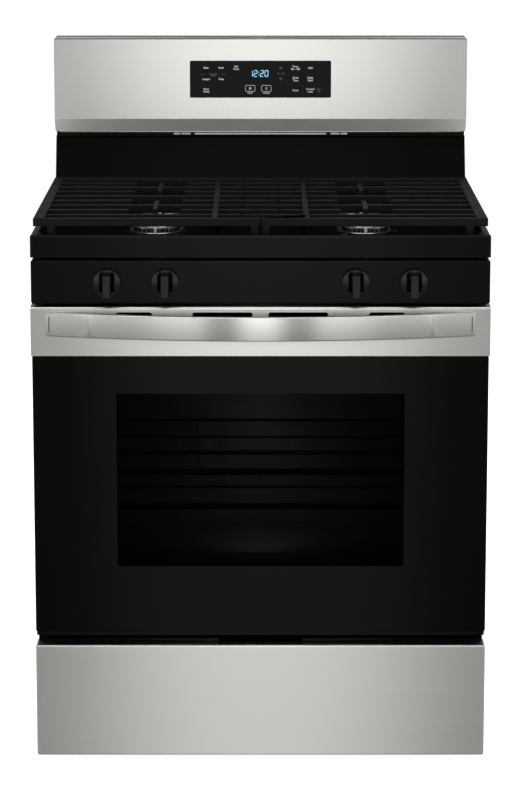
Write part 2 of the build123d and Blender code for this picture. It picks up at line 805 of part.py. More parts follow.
def grate(side):
    """One cast grate, standing on a foot near each corner."""
    solid = grate_bars(side)
    under = cooktop_height + grate_top_rise - grate_bar_height
    outer_foot = half - rim - grate_foot_inset
    inner_front_foot = grate_foot_half + 2 * grate_gap
    inner_back_foot = inner_front_foot
    if side < 0:
        inner_back_foot = grate_finger_end + grate_gap + grate_foot_half
    front = face_y + grate_front
    back = face_y + grate_back
    feet = [(outer_foot, front), (outer_foot, back), (inner_front_foot, front), (inner_back_foot, back)]
    for x, y in feet:
        middle = side * x
        foot = (middle - grate_foot_half, middle + grate_foot_half)
        solid += block(foot, (y - grate_bar_width / 2, y + grate_bar_width / 2), (well_z, under + 1))
    return solid


# ---- Gas train, control panel and knobs ----
valve_y = (panel_y + valve_setback, panel_y + valve_setback + valve_length)
manifold_y = valve_y[1] + manifold_radius
manifold_half = half - 50.0
regulator_y = back_y - 62.0


def control_panel():
    """The black front panel that the knobs stand on, folded back all round."""
    outer_half = half - panel_end_gap
    deep = (panel_y, panel_y + panel_depth)
    outer = rounded_plate(span(outer_half), deep, (panel_low, panel_high), panel_corner)
    outer = fillet(outer.faces().sort_by(Axis.Y)[0].edges(), 2)
    t = enamel_sheet
    hollow = rounded_plate(span(outer_half - t), (panel_y + t, panel_y + panel_depth + 1),
                           (panel_low + t, panel_high - t), panel_corner - t)
    panel = outer - hollow
    for x in knob_spots.values():
        panel -= bar_y(x, (panel_y - 3, panel_y + 6), knob_z, stem_radius + 3)
    return panel


def d_shaft(x, y, radius, flat):
    """A round shaft along Y with a flat on one side."""
    shaft = bar_y(x, y, knob_z, radius)
    return shaft - block((x + flat, x + radius + 1), (y[0] - 1, y[1] + 1), (knob_z - 9, knob_z + 9))


def knob(x):
    """A round skirt with an upright grip bar, bored for its stem."""
    back = panel_y - knob_standoff
    front = back - knob_length
    skirt = bar_y(x, (back - knob_base, back), knob_z, knob_radius)
    skirt = fillet(skirt.edges().sort_by(Axis.Y)[0], 1.5)
    grip = block((x - grip_width / 2, x + grip_width / 2), (front, back - 2),
                 (knob_z - knob_radius, knob_z + knob_radius))
    grip &= bar_y(x, (front, back - 2), knob_z, knob_radius - 0.8)
    hub = bar_y(x, (front + 14, back - 2), knob_z, 12)
    body = skirt + grip + hub
    return body - d_shaft(x, (front + 8, back + 1), stem_radius + running_gap, stem_flat + running_gap)


def valve_stem(x):
    front = panel_y - knob_standoff - knob_length + 8 + knob_push + 1
    stem = d_shaft(x, (front, panel_y + 1), stem_radius, stem_flat)
    return stem + bar_y(x, (panel_y + 1, valve_y[0] + 18), knob_z, stem_radius)


def gas_valves():
    valves = []
    for x in knob_spots.values():
        reach = valve_size / 2
        deep = (valve_y[0] + 6, valve_y[1] - 6)
        body = block((x - reach, x + reach), deep, (knob_z - reach, knob_z + reach))
        body = fillet(body.edges().filter_by(Axis.Y), 4)
        body += bar_y(x, (valve_y[0], valve_y[0] + 7), knob_z, 9)
        body += bar_y(x, (valve_y[1] - 7, valve_y[1] + 1), knob_z, 6)
        body -= bar_y(x, (valve_y[0] - 1, valve_y[0] + 20), knob_z, stem_radius + running_gap)
        valves.append(body - bar_x(span(half), manifold_y, knob_z, manifold_radius))
    return valves


def manifold_pipe():
    """The pipe that the valves hang on, closed at both ends but for the supply's way in."""
    pipe = bar_x(span(manifold_half), manifold_y, knob_z, manifold_radius)
    pipe -= bar_x(span(manifold_half - pipe_wall), manifold_y, knob_z, manifold_radius - pipe_wall)
    way_in = (manifold_half - pipe_wall - 1, manifold_half + 1)
    return pipe - bar_x(way_in, manifold_y, knob_z, supply_radius - pipe_wall)


def burner_gas_tubes():
    """One aluminium tube from each valve to the bottom of its burner's cup."""
    tubes = []
    level = knob_z + valve_size / 2 + 7.0
    pairs = {"left_outer": (-1, 0), "left_inner": (-1, 1), "right_inner": (1, 1), "right_outer": (1, 0)}
    for name, (side, row) in pairs.items():
        x = knob_spots[name]
        y = (valve_y[0] + valve_y[1]) / 2
        end = (side * burner_x, burner_rows[row])
        points = [(x, y, knob_z + valve_size / 2), (x, y, level), (end[0], end[1], level)]
        points += [(end[0], end[1], well_z - 26)]
        tubes.append(tube_along(points, 5, gas_tube_radius))
    return tubes


def gas_supply_pipe():
    """The pipe from the regulator, up behind the oven and forward along the side to the manifold."""
    x = half - 28.0
    start = (inlet_x, regulator_y, inlet_z + 22)
    level = inlet_z + 60
    top = knob_z
    points = [start, (inlet_x, regulator_y, level), (x, regulator_y, level), (x, regulator_y, top)]
    points += [(x, manifold_y, top), (manifold_half, manifold_y, top)]
    return tube_along(points, 14, supply_radius, supply_radius - pipe_wall)


def pressure_regulator():
    """The regulator at the back, with the threaded inlet that the house's gas line screws into."""
    body = bar_z(inlet_x, regulator_y, (inlet_z - 20, inlet_z + 22), 27)
    body += bar_z(inlet_x, regulator_y, (inlet_z - 28, inlet_z - 20), 12)
    neck = bar_y(inlet_x, (regulator_y, back_y - 4), inlet_z, 15)
    return body + neck - bar_y(inlet_x, (back_y - 24, back_y), inlet_z, inlet_radius)


# ---- Backguard and console ----
riser_top_y = face_y + riser_top
riser_high = cooktop_height + riser_height
vent_slot_ranges = ((-122.0, 122.0), (130.0, 147.0), (149.0, 161.0), (-147.0, -130.0), (-161.0, -149.0))


def backguard_riser():
    """The black sheet that slopes up from the cooktop to the console."""
    t = sheet
    low = cooktop_height
    outline = [(riser_y, low), (riser_top_y, riser_high), (back_y, riser_high), (back_y, low)]
    inside = [(riser_y + t, low - 1), (riser_top_y + t, riser_high - t)]
    inside += [(back_y + 1, riser_high - t), (back_y + 1, low - 1)]
    riser = prism(outline, span(half)) - prism(inside, span(half - t))
    return riser - block(span(duct_half + 2), duct_hole_y, (riser_high - 5, riser_high + 5))


def oven_vent_strip():
    """The slotted strip between the riser and the console, where the oven breathes out."""
    t = sheet
    y = (riser_top_y - 7, back_y)
    z = (riser_high, riser_high + vent_strip_height)
    end = half - vent_end_gap
    strip = block(span(end), y, z)
    strip -= block(span(end - t), (y[0] + t, y[1] + 1), (z[0] + t, z[1] + 1))
    strip -= block(span(duct_half + 2), duct_hole_y, (z[0] - 1, z[1] + 1))
    for slot in vent_slot_ranges:
        strip -= block(slot, (y[0] - 1, y[0] + 3), (z[0] + 2.5, z[1] - 2.5))
    return strip


def console_shell():
    """The stainless console: a tall face over a bevel, closed at both ends and on top."""
    t = sheet
    bevel_y = face_y + console_bevel_back
    bevel_high = cooktop_height + console_bevel_high
    outline = [(console_y, height), (console_y, bevel_high), (bevel_y, console_low)]
    outline += [(rear_y, console_low), (rear_y, height)]
    inside = [(console_y + t, height - t), (console_y + t, bevel_high + 0.4)]
    inside += [(bevel_y + 0.6, console_low + t)]
    inside += [(bevel_y + 12, console_low + t), (bevel_y + 12, console_low - 1)]
    inside += [(rear_y + 1, console_low - 1), (rear_y + 1, height - t)]
    shell = prism(outline, span(half)) - prism(inside, span(half - t))
    wide = console_glass_width / 2 + fit_gap
    middle = height - console_glass_drop
    tall = console_glass_height / 2 + fit_gap
    opening = (middle - tall, middle + tall)
    return shell - rounded_plate(span(wide), (console_y - 2, console_y + 4), opening, 3)


def console_rear_cover():
    z = (console_low + 1.0, height - sheet - fit_gap)
    cover = block(span(half - sheet - fit_gap), (back_y, back_y + sheet), z)
    for row in range(4):
        low = height - 70 + row * 12.0
        for side in (-1, 1):
            middle = side * 150.0
            cover -= slot_y((middle - 60, middle + 60), (back_y - 2, back_y + 4), (low, low + 4.5))
    return cover


def control_glass():
    middle = height - console_glass_drop
    tall = (middle - console_glass_height / 2, middle + console_glass_height / 2)
    deep = (console_y - 0.8, console_y + 2.4)
    pane = rounded_plate(span(console_glass_width / 2), deep, tall, 3)
    return chamfer(pane.faces().sort_by(Axis.Y)[0].edges(), 0.5)


def control_board():
    """The circuit board, with its display block and a transformer."""
    middle = height - console_glass_drop
    y = console_y + 14
    board = block(span(console_glass_width / 2 + 6), (y, y + 1.6), (middle - 38, middle + 38))
    display = block((-32, 26), (console_y + 3, y), (middle - 2, middle + 22))
    transformer = block((70, 108), (y + 1.6, y + 32), (middle - 20, middle + 16))
    return [board, display, transformer]


os.makedirs("parts", exist_ok=True)

right_side = side_panel()
save("side_panel_right", right_side)
save("side_panel_left", mirror(right_side, about=Plane.YZ))
save("back_panel", back_panel())
save("body_screws", body_screws())
save("base_frame", base_frame())
save("leveling_legs", leveling_legs())
save("cord_gland", cord_gland())

save("oven_liner", oven_liner())
save("oven_floor_panel", oven_floor_panel())
save("oven_front_frame", oven_front_frame())
save("oven_insulation", oven_insulation())
save("rack_guides", rack_guides())
save("oven_rack_upper", oven_rack(rack_upper_level))
save("oven_rack_lower", oven_rack(rack_lower_level))
save("bake_burner", bake_burner())
save("broil_burner", broil_burner())
save("oven_lamp", oven_lamp())
save("oven_vent_duct", oven_vent_duct())

save("door_outer_glass", door_outer_glass())
save("door_window_panes", door_window_panes())
save("door_top_trim", door_top_trim())
save("door_handle", door_handle())
save("door_frame", door_frame())
save("door_inner_panel", door_inner_panel())
save("door_gasket", door_gasket())
save("hinge_cases", hinge_cases())
save("hinge_arms", hinge_arms())
save("hinge_receivers", hinge_receivers())

save("drawer_front", drawer_front())
save("drawer_box", drawer_box())
save("drawer_rails", drawer_rails())

save("cooktop", cooktop())
save("burner_bases", burner_bases())
save("spark_electrodes", spark_electrodes())
for x, side_name in ((-burner_x, "left"), (burner_x, "right")):
    for y, row_name in zip(burner_rows, ("front", "rear")):
        save(f"burner_cap_{row_name}_{side_name}", burner_cap(x, y))
save("grate_left", grate(-1))
save("grate_right", grate(1))

save("control_panel", control_panel())
save("gas_valves", gas_valves())
save("manifold_pipe", manifold_pipe())
save("burner_gas_tubes", burner_gas_tubes())
save("gas_supply_pipe", gas_supply_pipe())
save("pressure_regulator", pressure_regulator())
for spot, x in knob_spots.items():
    save(f"knob_{spot}", knob(x))
    save(f"valve_stem_{spot}", valve_stem(x))

save("backguard_riser", backguard_riser())
save("oven_vent_strip", oven_vent_strip())
save("console_shell", console_shell())
save("console_rear_cover", console_rear_cover())
save("control_glass", control_glass())
save("control_board", control_board())
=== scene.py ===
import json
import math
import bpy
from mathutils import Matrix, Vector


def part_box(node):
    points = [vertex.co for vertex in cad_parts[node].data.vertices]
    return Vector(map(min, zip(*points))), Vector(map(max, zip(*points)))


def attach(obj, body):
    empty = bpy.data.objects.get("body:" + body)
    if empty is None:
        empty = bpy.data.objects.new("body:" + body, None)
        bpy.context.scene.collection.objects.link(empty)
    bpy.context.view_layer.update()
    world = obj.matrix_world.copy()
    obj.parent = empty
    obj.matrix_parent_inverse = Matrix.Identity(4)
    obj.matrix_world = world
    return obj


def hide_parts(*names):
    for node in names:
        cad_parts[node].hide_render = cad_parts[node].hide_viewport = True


bl_info = {
    "name": "Gas range",
    "version": (1, 0, 0),
    "blender": (4, 5, 0),
    "location": "3D View > Sidebar > Gas range",
    "description": "Finishes, rounded pieces, console legends and studio for a freestanding gas range",
    "category": "Object",
}

import bmesh
import bpy
from bpy.props import FloatProperty, FloatVectorProperty, IntProperty, PointerProperty, StringProperty
from mathutils import Matrix, Vector

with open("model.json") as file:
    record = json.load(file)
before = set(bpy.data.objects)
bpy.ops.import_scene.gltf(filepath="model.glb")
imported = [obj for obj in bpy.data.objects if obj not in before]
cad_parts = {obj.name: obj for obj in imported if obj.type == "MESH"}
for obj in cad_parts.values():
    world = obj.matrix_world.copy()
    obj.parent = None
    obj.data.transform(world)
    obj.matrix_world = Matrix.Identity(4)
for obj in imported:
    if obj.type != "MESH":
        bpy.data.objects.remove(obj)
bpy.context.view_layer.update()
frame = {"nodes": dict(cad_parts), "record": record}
nodes = frame["nodes"]
MM = 0.001
KNOBS = ("left_outer", "left_inner", "right_inner", "right_outer")
BURNERS = ("front_left", "rear_left", "front_right", "rear_right")


def linear(code):
    """Turn an sRGB hex colour into linear red, green, blue and alpha."""
    shares = [int(code[i : i + 2], 16) / 255 for i in (1, 3, 5)]
    bent = [s / 12.92 if s <= 0.04045 else ((s + 0.055) / 1.055) ** 2.4 for s in shares]
    return (*bent, 1.0)


def add(tree, kind, **settings):
    """Add one node: small letters name a property, a capital a socket (iN its number), an output is linked."""
    made = tree.nodes.new(kind)
    for key, value in settings.items():
        if key[0] == "i" and key[1:].isdigit():
            socket = made.inputs[int(key[1:])]
        elif key[0].islower():
            setattr(made, key, value)
            continue
        else:
            socket = made.inputs[key.replace("_", " ")]
        if isinstance(value, bpy.types.NodeSocket):
            tree.links.new(value, socket)
        else:
            socket.default_value = value
    return made


def per(size):
    """The texture scale whose features are this many millimetres apart."""
    return 1000.0 / size


# ---- What a user would change ----
def length(name, description, size):
    """A length that a user can change, given in millimetres."""
    return FloatProperty(name=name, description=description, default=size * MM, unit="LENGTH")


def tint(name, description, code):
    """A colour that a user can change, given as a hex code."""
    return FloatVectorProperty(name=name, description=description, subtype="COLOR", size=4, default=linear(code))


class RangeSizes(bpy.types.PropertyGroup):
    """Sizes of the pieces that are shaped here."""

    grate_edge: length("Grate edge", "Rounding of the cast bars", 1.7)
    sheet_edge: length("Sheet edge", "Rounding of folded sheet", 1.1)
    glass_edge: length("Glass edge", "Ground edge of the glass", 0.6)
    knob_floor: length("Knob scoop", "Height left under each knob's scoops", 1.6)
    knob_rim: length("Knob crest", "Height of each knob's skirt beside its scoops", 9.5)
    handle_bow: length("Handle bow", "How far the handle's middle stands off its ends", 46)
    handle_sheet: length("Handle thickness", "Thickness of the handle's strip", 8)
    port_count: IntProperty(name="Ports", description="Flame ports round each burner head", default=32, min=6)
    rope_lay: length("Rope lay", "Length of one twist of the door gasket", 11)
    window_width: length("Window width", "Clear part of the door glass", 478)
    window_height: length("Window height", "Clear part of the door glass", 296)
    window_rise: length("Window rise", "Window above the glass's lower edge", 112.6)
    clock: StringProperty(name="Clock", description="Time that the display shows", default="12:20")


class RangeColours(bpy.types.PropertyGroup):
    """Colours of the main finishes."""

    steel: tint("Steel", "Brushed steel", "#C9C8C4")
    black: tint("Enamel", "Gloss enamel", "#070708")
    iron: tint("Grates", "Matt enamel of the grates", "#0C0C0C")
    side: tint("Sides", "Powder coat of the side panels", "#1B1B1C")
    oven: tint("Oven", "Enamel inside the oven", "#33363B")
    digits: tint("Display", "Light of the clock", "#4FB4F0")


def sizes():
    return bpy.context.scene.range_sizes


def colours():
    return bpy.context.scene.range_colours


# ---- Finishes ----
def begin(name, colour, **settings):
    """A new material with one shader: gives the material, its tree, the shader and the place on the piece."""
    material = bpy.data.materials.new(name)
    material.use_nodes = True
    tree = material.node_tree
    tree.nodes.clear()
    shader = add(tree, "ShaderNodeBsdfPrincipled", Base_Color=colour, **settings)
    add(tree, "ShaderNodeOutputMaterial", Surface=shader.outputs[0])
    place = add(tree, "ShaderNodeTexCoord").outputs["Object"]
    return material, tree, shader, place


def blend(tree, share, one, other, **settings):
    """Mix two colours by a share."""
    return add(tree, "ShaderNodeMix", data_type="RGBA", i0=share, i6=one, i7=other, **settings).outputs[2]


def wire(tree, shader, **outputs):
    """Link outputs to the shader's sockets, whose names are written with underscores."""
    for name, output in outputs.items():
        tree.links.new(output, shader.inputs[name.replace("_", " ")])


def grained(name, colour, grain, relief, rough=(0.3, 0.4), tone=0.15, stretch=(1, 1, 1), **settings):
    """A finish with an even grain: grain is its size and relief its height, both in millimetres."""
    material, tree, shader, place = begin(name, colour, **settings)
    scale = [per(grain) / s for s in stretch]
    drawn = add(tree, "ShaderNodeMapping", Vector=place, Scale=scale).outputs[0]
    fine = add(tree, "ShaderNodeTexNoise", Vector=drawn, Scale=1.0, Detail=3.0, Roughness=0.6).outputs[0]
    broad = add(tree, "ShaderNodeTexNoise", Vector=place, Scale=per(60), Detail=2.0).outputs[0]
    both = add(tree, "ShaderNodeMath", operation="MULTIPLY_ADD", i0=broad, i1=0.5, i2=fine).outputs[0]
    span = {"Value": both, "From_Min": 0.45, "From_Max": 1.05}
    roughness = add(tree, "ShaderNodeMapRange", To_Min=rough[0], To_Max=rough[1], **span).outputs[0]
    share = add(tree, "ShaderNodeMapRange", To_Min=0.0, To_Max=1.0, **span).outputs[0]
    light = [min(1.0, c * (1 + tone)) for c in colour[:3]] + [1.0]
    dark = [c * (1 - tone) for c in colour[:3]] + [1.0]
    shade = blend(tree, share, dark, light)
    bump = add(tree, "ShaderNodeBump", Strength=1.0, Distance=relief * MM, Height=fine).outputs[0]
    wire(tree, shader, Base_Color=shade, Roughness=roughness, Normal=bump)
    return material


def brushed_stainless():
    """Ferritic stainless sheet brushed along the width: long scratches that spread lights up and down.
    Real scratches are 0.1 mm apart; they are drawn 0.9 mm apart so that they show."""
    material, tree, shader, place = begin(
        "brushed_stainless_sheet", colours().steel, Metallic=1.0, Anisotropic=1.0, Anisotropic_Rotation=0.25
    )
    long_way = add(tree, "ShaderNodeMapping", Vector=place, Scale=(per(180), per(0.9), per(0.9))).outputs[0]
    scratches = add(tree, "ShaderNodeTexNoise", Vector=long_way, Scale=1.0, Detail=4.0, Roughness=0.65).outputs[0]
    wide_way = add(tree, "ShaderNodeMapping", Vector=place, Scale=(per(900), per(28), per(28))).outputs[0]
    bands = add(tree, "ShaderNodeTexNoise", Vector=wide_way, Scale=1.0, Detail=2.0).outputs[0]
    both = add(tree, "ShaderNodeMath", operation="MULTIPLY_ADD", i0=bands, i1=0.35, i2=scratches).outputs[0]
    span = {"Value": both, "From_Min": 0.35, "From_Max": 1.0}
    roughness = add(tree, "ShaderNodeMapRange", To_Min=0.21, To_Max=0.25, **span).outputs[0]
    share = add(tree, "ShaderNodeMapRange", **span).outputs[0]
    steel = colours().steel
    dark = [c * 0.975 for c in steel[:3]] + [1.0]
    shade = blend(tree, share, dark, tuple(steel))
    bump = add(tree, "ShaderNodeBump", Strength=0.15, Distance=0.010 * MM, Height=scratches).outputs[0]
    wire(tree, shader, Base_Color=shade, Roughness=roughness, Normal=bump)
    return material


def gloss_enamel():
    """Vitreous enamel on sheet steel: deep gloss over the faint waviness of the fired coat."""
    return grained(
        "gloss_porcelain_enamel", colours().black, 9.0, 0.012, (0.08, 0.13), 0.08, Specular_IOR_Level=0.1
    )


def speckled_enamel():
    """Vitreous enamel for ovens: blue-grey ground with white specks about 0.7 mm across, drawn 3 mm apart."""
    ground = colours().oven
    material, tree, shader, place = begin("speckled_oven_enamel", ground, Roughness=0.28, Specular_IOR_Level=0.5)
    cells = add(tree, "ShaderNodeTexVoronoi", Vector=place, Scale=per(3.0), Randomness=1.0)
    size = add(tree, "ShaderNodeSeparateColor", Color=cells.outputs["Color"]).outputs[0]
    reach = add(tree, "ShaderNodeMath", operation="MULTIPLY", i0=size, i1=0.16).outputs[0]
    speck = add(tree, "ShaderNodeMath", operation="LESS_THAN", i0=cells.outputs["Distance"], i1=reach).outputs[0]
    shade = blend(tree, speck, tuple(ground), linear("#B9BDC2"))
    wave = add(tree, "ShaderNodeTexNoise", Vector=place, Scale=per(8.0), Detail=2.0).outputs[0]
    bump = add(tree, "ShaderNodeBump", Strength=1.0, Distance=0.02 * MM, Height=wave).outputs[0]
    wire(tree, shader, Base_Color=shade, Normal=bump)
    return material


def galvanised_sheet():
    """Hot-dip galvanised sheet: crystals of zinc about 9 mm across, each a slightly different grey."""
    material, tree, shader, place = begin("galvanised_sheet", linear("#A9ACAE"), Metallic=1.0, Roughness=0.42)
    warp = add(tree, "ShaderNodeTexNoise", Vector=place, Scale=per(12.0), Detail=2.0).outputs["Color"]
    shift = blend(tree, 0.004, place, warp, blend_type="LINEAR_LIGHT")
    cells = add(tree, "ShaderNodeTexVoronoi", Vector=shift, Scale=per(9.0))
    share = add(tree, "ShaderNodeSeparateColor", Color=cells.outputs["Color"]).outputs[0]
    shade = blend(tree, share, linear("#8E9193"), linear("#B9BCBE"))
    roughness = add(tree, "ShaderNodeMapRange", Value=share, To_Min=0.32, To_Max=0.5).outputs[0]
    wire(tree, shader, Base_Color=shade, Roughness=roughness)
    return material


def glass_wool():
    """Glass-wool blanket: pale yellow fibres tangled about 2 mm apart."""
    return grained("glass_wool_blanket", linear("#D8C77A"), 2.0, 0.9, (0.9, 1.0), 0.3, (3, 1, 1), Sheen_Weight=0.3)


def braided_gasket():
    """Braided glass rope: dull grey yarn, 1.2 mm wide."""
    return grained("braided_glass_rope", linear("#5A5956"), 1.2, 0.35, (0.85, 0.95), 0.35, (2, 1, 1), Sheen_Weight=0.4)


def board_mask():
    """Circuit board: green solder mask over copper tracks about 3 mm apart."""
    material, tree, shader, place = begin("soldermask_board", linear("#0F4A2A"), Roughness=0.3)
    cells = add(tree, "ShaderNodeTexBrick", Vector=place, Scale=per(6.0), Mortar_Size=0.06, Mortar=linear("#2F7A48"))
    for name in ("Color1", "Color2"):
        cells.inputs[name].default_value = linear("#0F4A2A")
    wire(tree, shader, Base_Color=cells.outputs["Color"])
    return material


def printed_glass():
    """Float glass printed black behind: a flat, nearly perfect mirror over black."""
    return grained("black_printed_glass", linear("#040405"), 140.0, 0.004, (0.02, 0.04), 0.05, Specular_IOR_Level=0.1)


def tinted_window():
    """The unprinted part of the door glass, with a grey reflective coat that hides most of the oven."""
    return grained(
        "tinted_window_glass", linear("#020202"), 140.0, 0.004, (0.02, 0.03), 0.05, Specular_IOR_Level=0.0, Alpha=0.6
    )


def clear_glass():
    """Clear heat-proof glass with a slight green edge."""
    return grained(
        "clear_borosilicate_glass", linear("#0A0D0C"), 40.0, 0.004, (0.02, 0.04), 0.05,
        Specular_IOR_Level=0.03, Alpha=0.08,
    )


FINISHES = {
    "stainless": brushed_stainless,
    "black_enamel": gloss_enamel,
    "grey_enamel": speckled_enamel,
    "galvanised_steel": galvanised_sheet,
    "glass_wool": glass_wool,
    "gasket_fibre": braided_gasket,
    "circuit_board": board_mask,
    "black_glass": printed_glass,
    "control_glass": printed_glass,
    "tinted_window": tinted_window,
    "clear_glass": clear_glass,
    # Powder coat: satin, with orange peel about 1.5 mm across.
    "side_paint": lambda: grained(
        "satin_powder_coat", colours().side, 1.5, 0.03, (0.42, 0.5), 0.08, Specular_IOR_Level=0.4
    ),
    # Matt enamel on cast iron: the sand-cast grain, 1.3 mm, shows through a thin dull coat.
    "cast_iron": lambda: grained(
        "matt_enamel_cast_iron", colours().iron, 1.3, 0.10, (0.42, 0.6), 0.2, Specular_IOR_Level=0.12
    ),
    # Matt enamel on pressed steel: finer and darker than the grates.
    "cap_enamel": lambda: grained(
        "matt_enamel_burner_cap", linear("#101011"), 0.9, 0.03, (0.35, 0.45), 0.12, Specular_IOR_Level=0.3
    ),
    # Stainless sheet with a blasted satin face, as under the console: no grain, an even grey.
    "satin_steel": lambda: grained(
        "satin_blasted_stainless", linear("#D2D1CD"), 0.5, 0.01, (0.55, 0.65), 0.05, Metallic=0.55
    ),
    # Zinc-plated spring steel: even silver-grey with drawing marks.
    "spring_steel": lambda: grained(
        "plated_spring_steel", linear("#8C8D8F"), 0.8, 0.02, (0.25, 0.38), 0.1, (6, 1, 1), Metallic=1.0
    ),
    # Die-cast aluminium: bright turned rims over a dull skin.
    "burner_aluminium": lambda: grained(
        "die_cast_aluminium", linear("#8A8B8C"), 0.8, 0.03, (0.20, 0.30), 0.12, Metallic=1.0
    ),
    # Drawn aluminium tube: smooth, with long draw lines.
    "tube_aluminium": lambda: grained(
        "drawn_aluminium_tube", linear("#CBCCCD"), 0.6, 0.01, (0.22, 0.34), 0.08, (12, 1, 1), Metallic=1.0
    ),
    # Turned brass: warm, with fine turning rings.
    "valve_brass": lambda: grained(
        "turned_brass", linear("#B79A55"), 0.5, 0.01, (0.2, 0.34), 0.1, (1, 8, 8), Metallic=1.0
    ),
    # Black iron pipe: a dull mill scale.
    "pipe_steel": lambda: grained("black_iron_pipe", linear("#232325"), 2.2, 0.05, (0.5, 0.65), 0.25, Metallic=0.4),
    # Moulded phenolic: near-black with a fine spark texture.
    "knob_plastic": lambda: grained(
        "moulded_phenolic", linear("#0E0E0F"), 0.5, 0.012, (0.24, 0.32), 0.1, Specular_IOR_Level=0.3
    ),
    # Moulded polyamide foot: matt, slightly scuffed.
    "foot_plastic": lambda: grained("moulded_polyamide_foot", linear("#242425"), 0.8, 0.03, (0.45, 0.6), 0.2),
    # Moulded nylon bush: a soft sheen.
    "gland_nylon": lambda: grained("moulded_nylon", linear("#1C1C1D"), 0.8, 0.02, (0.38, 0.5), 0.15),
    # Nickel-chrome wire: bright, with a faint haze from use.
    "rack_chrome": lambda: grained(
        "nickel_chrome_wire", linear("#C6C7C8"), 1.0, 0.01, (0.12, 0.24), 0.1, (1, 9, 1), Metallic=1.0
    ),
    # Sintered alumina: off-white and chalky.
    "ceramic": lambda: grained("sintered_alumina", linear("#E4E1D8"), 0.4, 0.02, (0.45, 0.6), 0.05),
    # Screen-printed white ink on the console glass.
    "print_white": lambda: grained("white_screen_print", linear("#DADCDD"), 0.6, 0.002, (0.5, 0.6), 0.05),
    # Screen-printed grey ink, for the lesser marks.
    "print_grey": lambda: grained("grey_screen_print", linear("#5E6062"), 0.6, 0.002, (0.5, 0.6), 0.05),
}


def finish(name):
    """The material of a finish, made the first time that it is asked for."""
    kept = bpy.context.scene.get("finish_" + name)
    if kept is None:
        kept = FINISHES[name]()
        bpy.context.scene["finish_" + name] = kept
    return kept


def glow():
    """Lit segments of the clock: an even blue-white light behind the glass."""
    material, tree, shader, place = begin("lit_display_segment", linear("#101418"), Roughness=0.4)
    wave = add(tree, "ShaderNodeTexNoise", Vector=place, Scale=per(3.0), Detail=1.0).outputs[0]
    wire(tree, shader, Emission_Color=blend(tree, wave, tuple(colours().digits), linear("#BFE6FF")))
    shader.inputs["Emission Strength"].default_value = 1.1
    return material


# ---- Making pieces ----
def keep(name, mesh, body, slot=None, materials=(), smooth=35.0, instead_of=()):
    """Turn a mesh into a piece: merged, facing outwards, smooth below an angle, riding on its body."""
    work = bmesh.new()
    work.from_mesh(mesh)
    bmesh.ops.remove_doubles(work, verts=work.verts, dist=1e-6)
    bmesh.ops.dissolve_degenerate(work, dist=1e-7, edges=work.edges)
    bmesh.ops.recalc_face_normals(work, faces=work.faces)
    for face in work.faces:
        face.smooth = True
    work.to_mesh(mesh)
    work.free()
    mesh.set_sharp_from_angle(angle=math.radians(smooth))
    if mesh.materials:
        mesh.materials.clear()
    for material in materials or [finish(slot)]:
        mesh.materials.append(material)
    piece = bpy.data.objects.new(name, mesh)
    bpy.context.scene.collection.objects.link(piece)
    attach(piece, body)
    if instead_of:
        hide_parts(*instead_of)
    return piece


def mesh_of(name, points, faces):
    mesh = bpy.data.meshes.new(name)
    mesh.from_pydata([tuple(p) for p in points], [], faces)
    return mesh


def joined(name, meshes):
    """Several meshes as one."""
    work = bmesh.new()
    for mesh in meshes:
        work.from_mesh(mesh)
    whole = bpy.data.meshes.new(name)
    work.to_mesh(whole)
    work.free()
    return whole


def lathe(name, outline, centre, steps=96):
    """A closed outline of (radius, height) turned about an upright line through the centre."""
    points, faces = [], []
    count = len(outline)
    for turn in range(steps):
        angle = 2 * math.pi * turn / steps
        for radius, height in outline:
            points.append(centre + Vector((radius * math.cos(angle), radius * math.sin(angle), height)))
    for turn in range(steps):
        here, there = turn * count, (turn + 1) % steps * count
        for k in range(count):
            after = (k + 1) % count
            faces.append((here + k, there + k, there + after, here + after))
    return mesh_of(name, points, faces)


def plate(outline, front, back):
    """A flat plate with an (x, z) outline between two y planes: gives its points and faces."""
    count = len(outline)
    points = [(x, front, z) for x, z in outline] + [(x, back, z) for x, z in outline]
    faces = [tuple(range(count)), tuple(reversed(range(count, 2 * count)))]
    faces += [(k, (k + 1) % count, (k + 1) % count + count, k + count) for k in range(count)]
    return points, faces


def rounded(x, z, half_wide, half_tall, corner, steps=6):
    """The outline of a rectangle with round corners."""
    outline = []
    for quarter, (sx, sz) in enumerate(((1, 1), (-1, 1), (-1, -1), (1, -1))):
        for step in range(steps + 1):
            angle = math.pi / 2 * (quarter + step / steps)
            outline.append((
                x + sx * (half_wide - corner) + corner * math.cos(angle),
                z + sz * (half_tall - corner) + corner * math.sin(angle),
            ))
    return outline


def grown(name, tree, holder_points, values):
    """Run a node tree on some points and keep what it makes as a plain mesh."""
    holder = bpy.data.objects.new(name, mesh_of(name + "_points", holder_points, []))
    bpy.context.scene.collection.objects.link(holder)
    modifier = holder.modifiers.new("grow", "NODES")
    modifier.node_group = tree
    for item in tree.interface.items_tree:
        if item.name in values:
            modifier[item.identifier] = values[item.name]
    graph = bpy.context.evaluated_depsgraph_get()
    made = bpy.data.meshes.new_from_object(holder.evaluated_get(graph), depsgraph=graph)
    holder.modifiers.remove(modifier)
    bpy.data.objects.remove(holder)
    return made


def tree_with(name, inputs):
    """A new geometry tree with named inputs: gives the tree, its inputs node and its output node."""
    tree = bpy.data.node_groups.new(name, "GeometryNodeTree")
    tree.interface.new_socket("Geometry", in_out="INPUT", socket_type="NodeSocketGeometry")
    for label, kind in inputs:
        tree.interface.new_socket(label, in_out="INPUT", socket_type="NodeSocket" + kind)
    tree.interface.new_socket("Geometry", in_out="OUTPUT", socket_type="NodeSocketGeometry")
    return tree, tree.nodes.new("NodeGroupInput").outputs, tree.nodes.new("NodeGroupOutput")


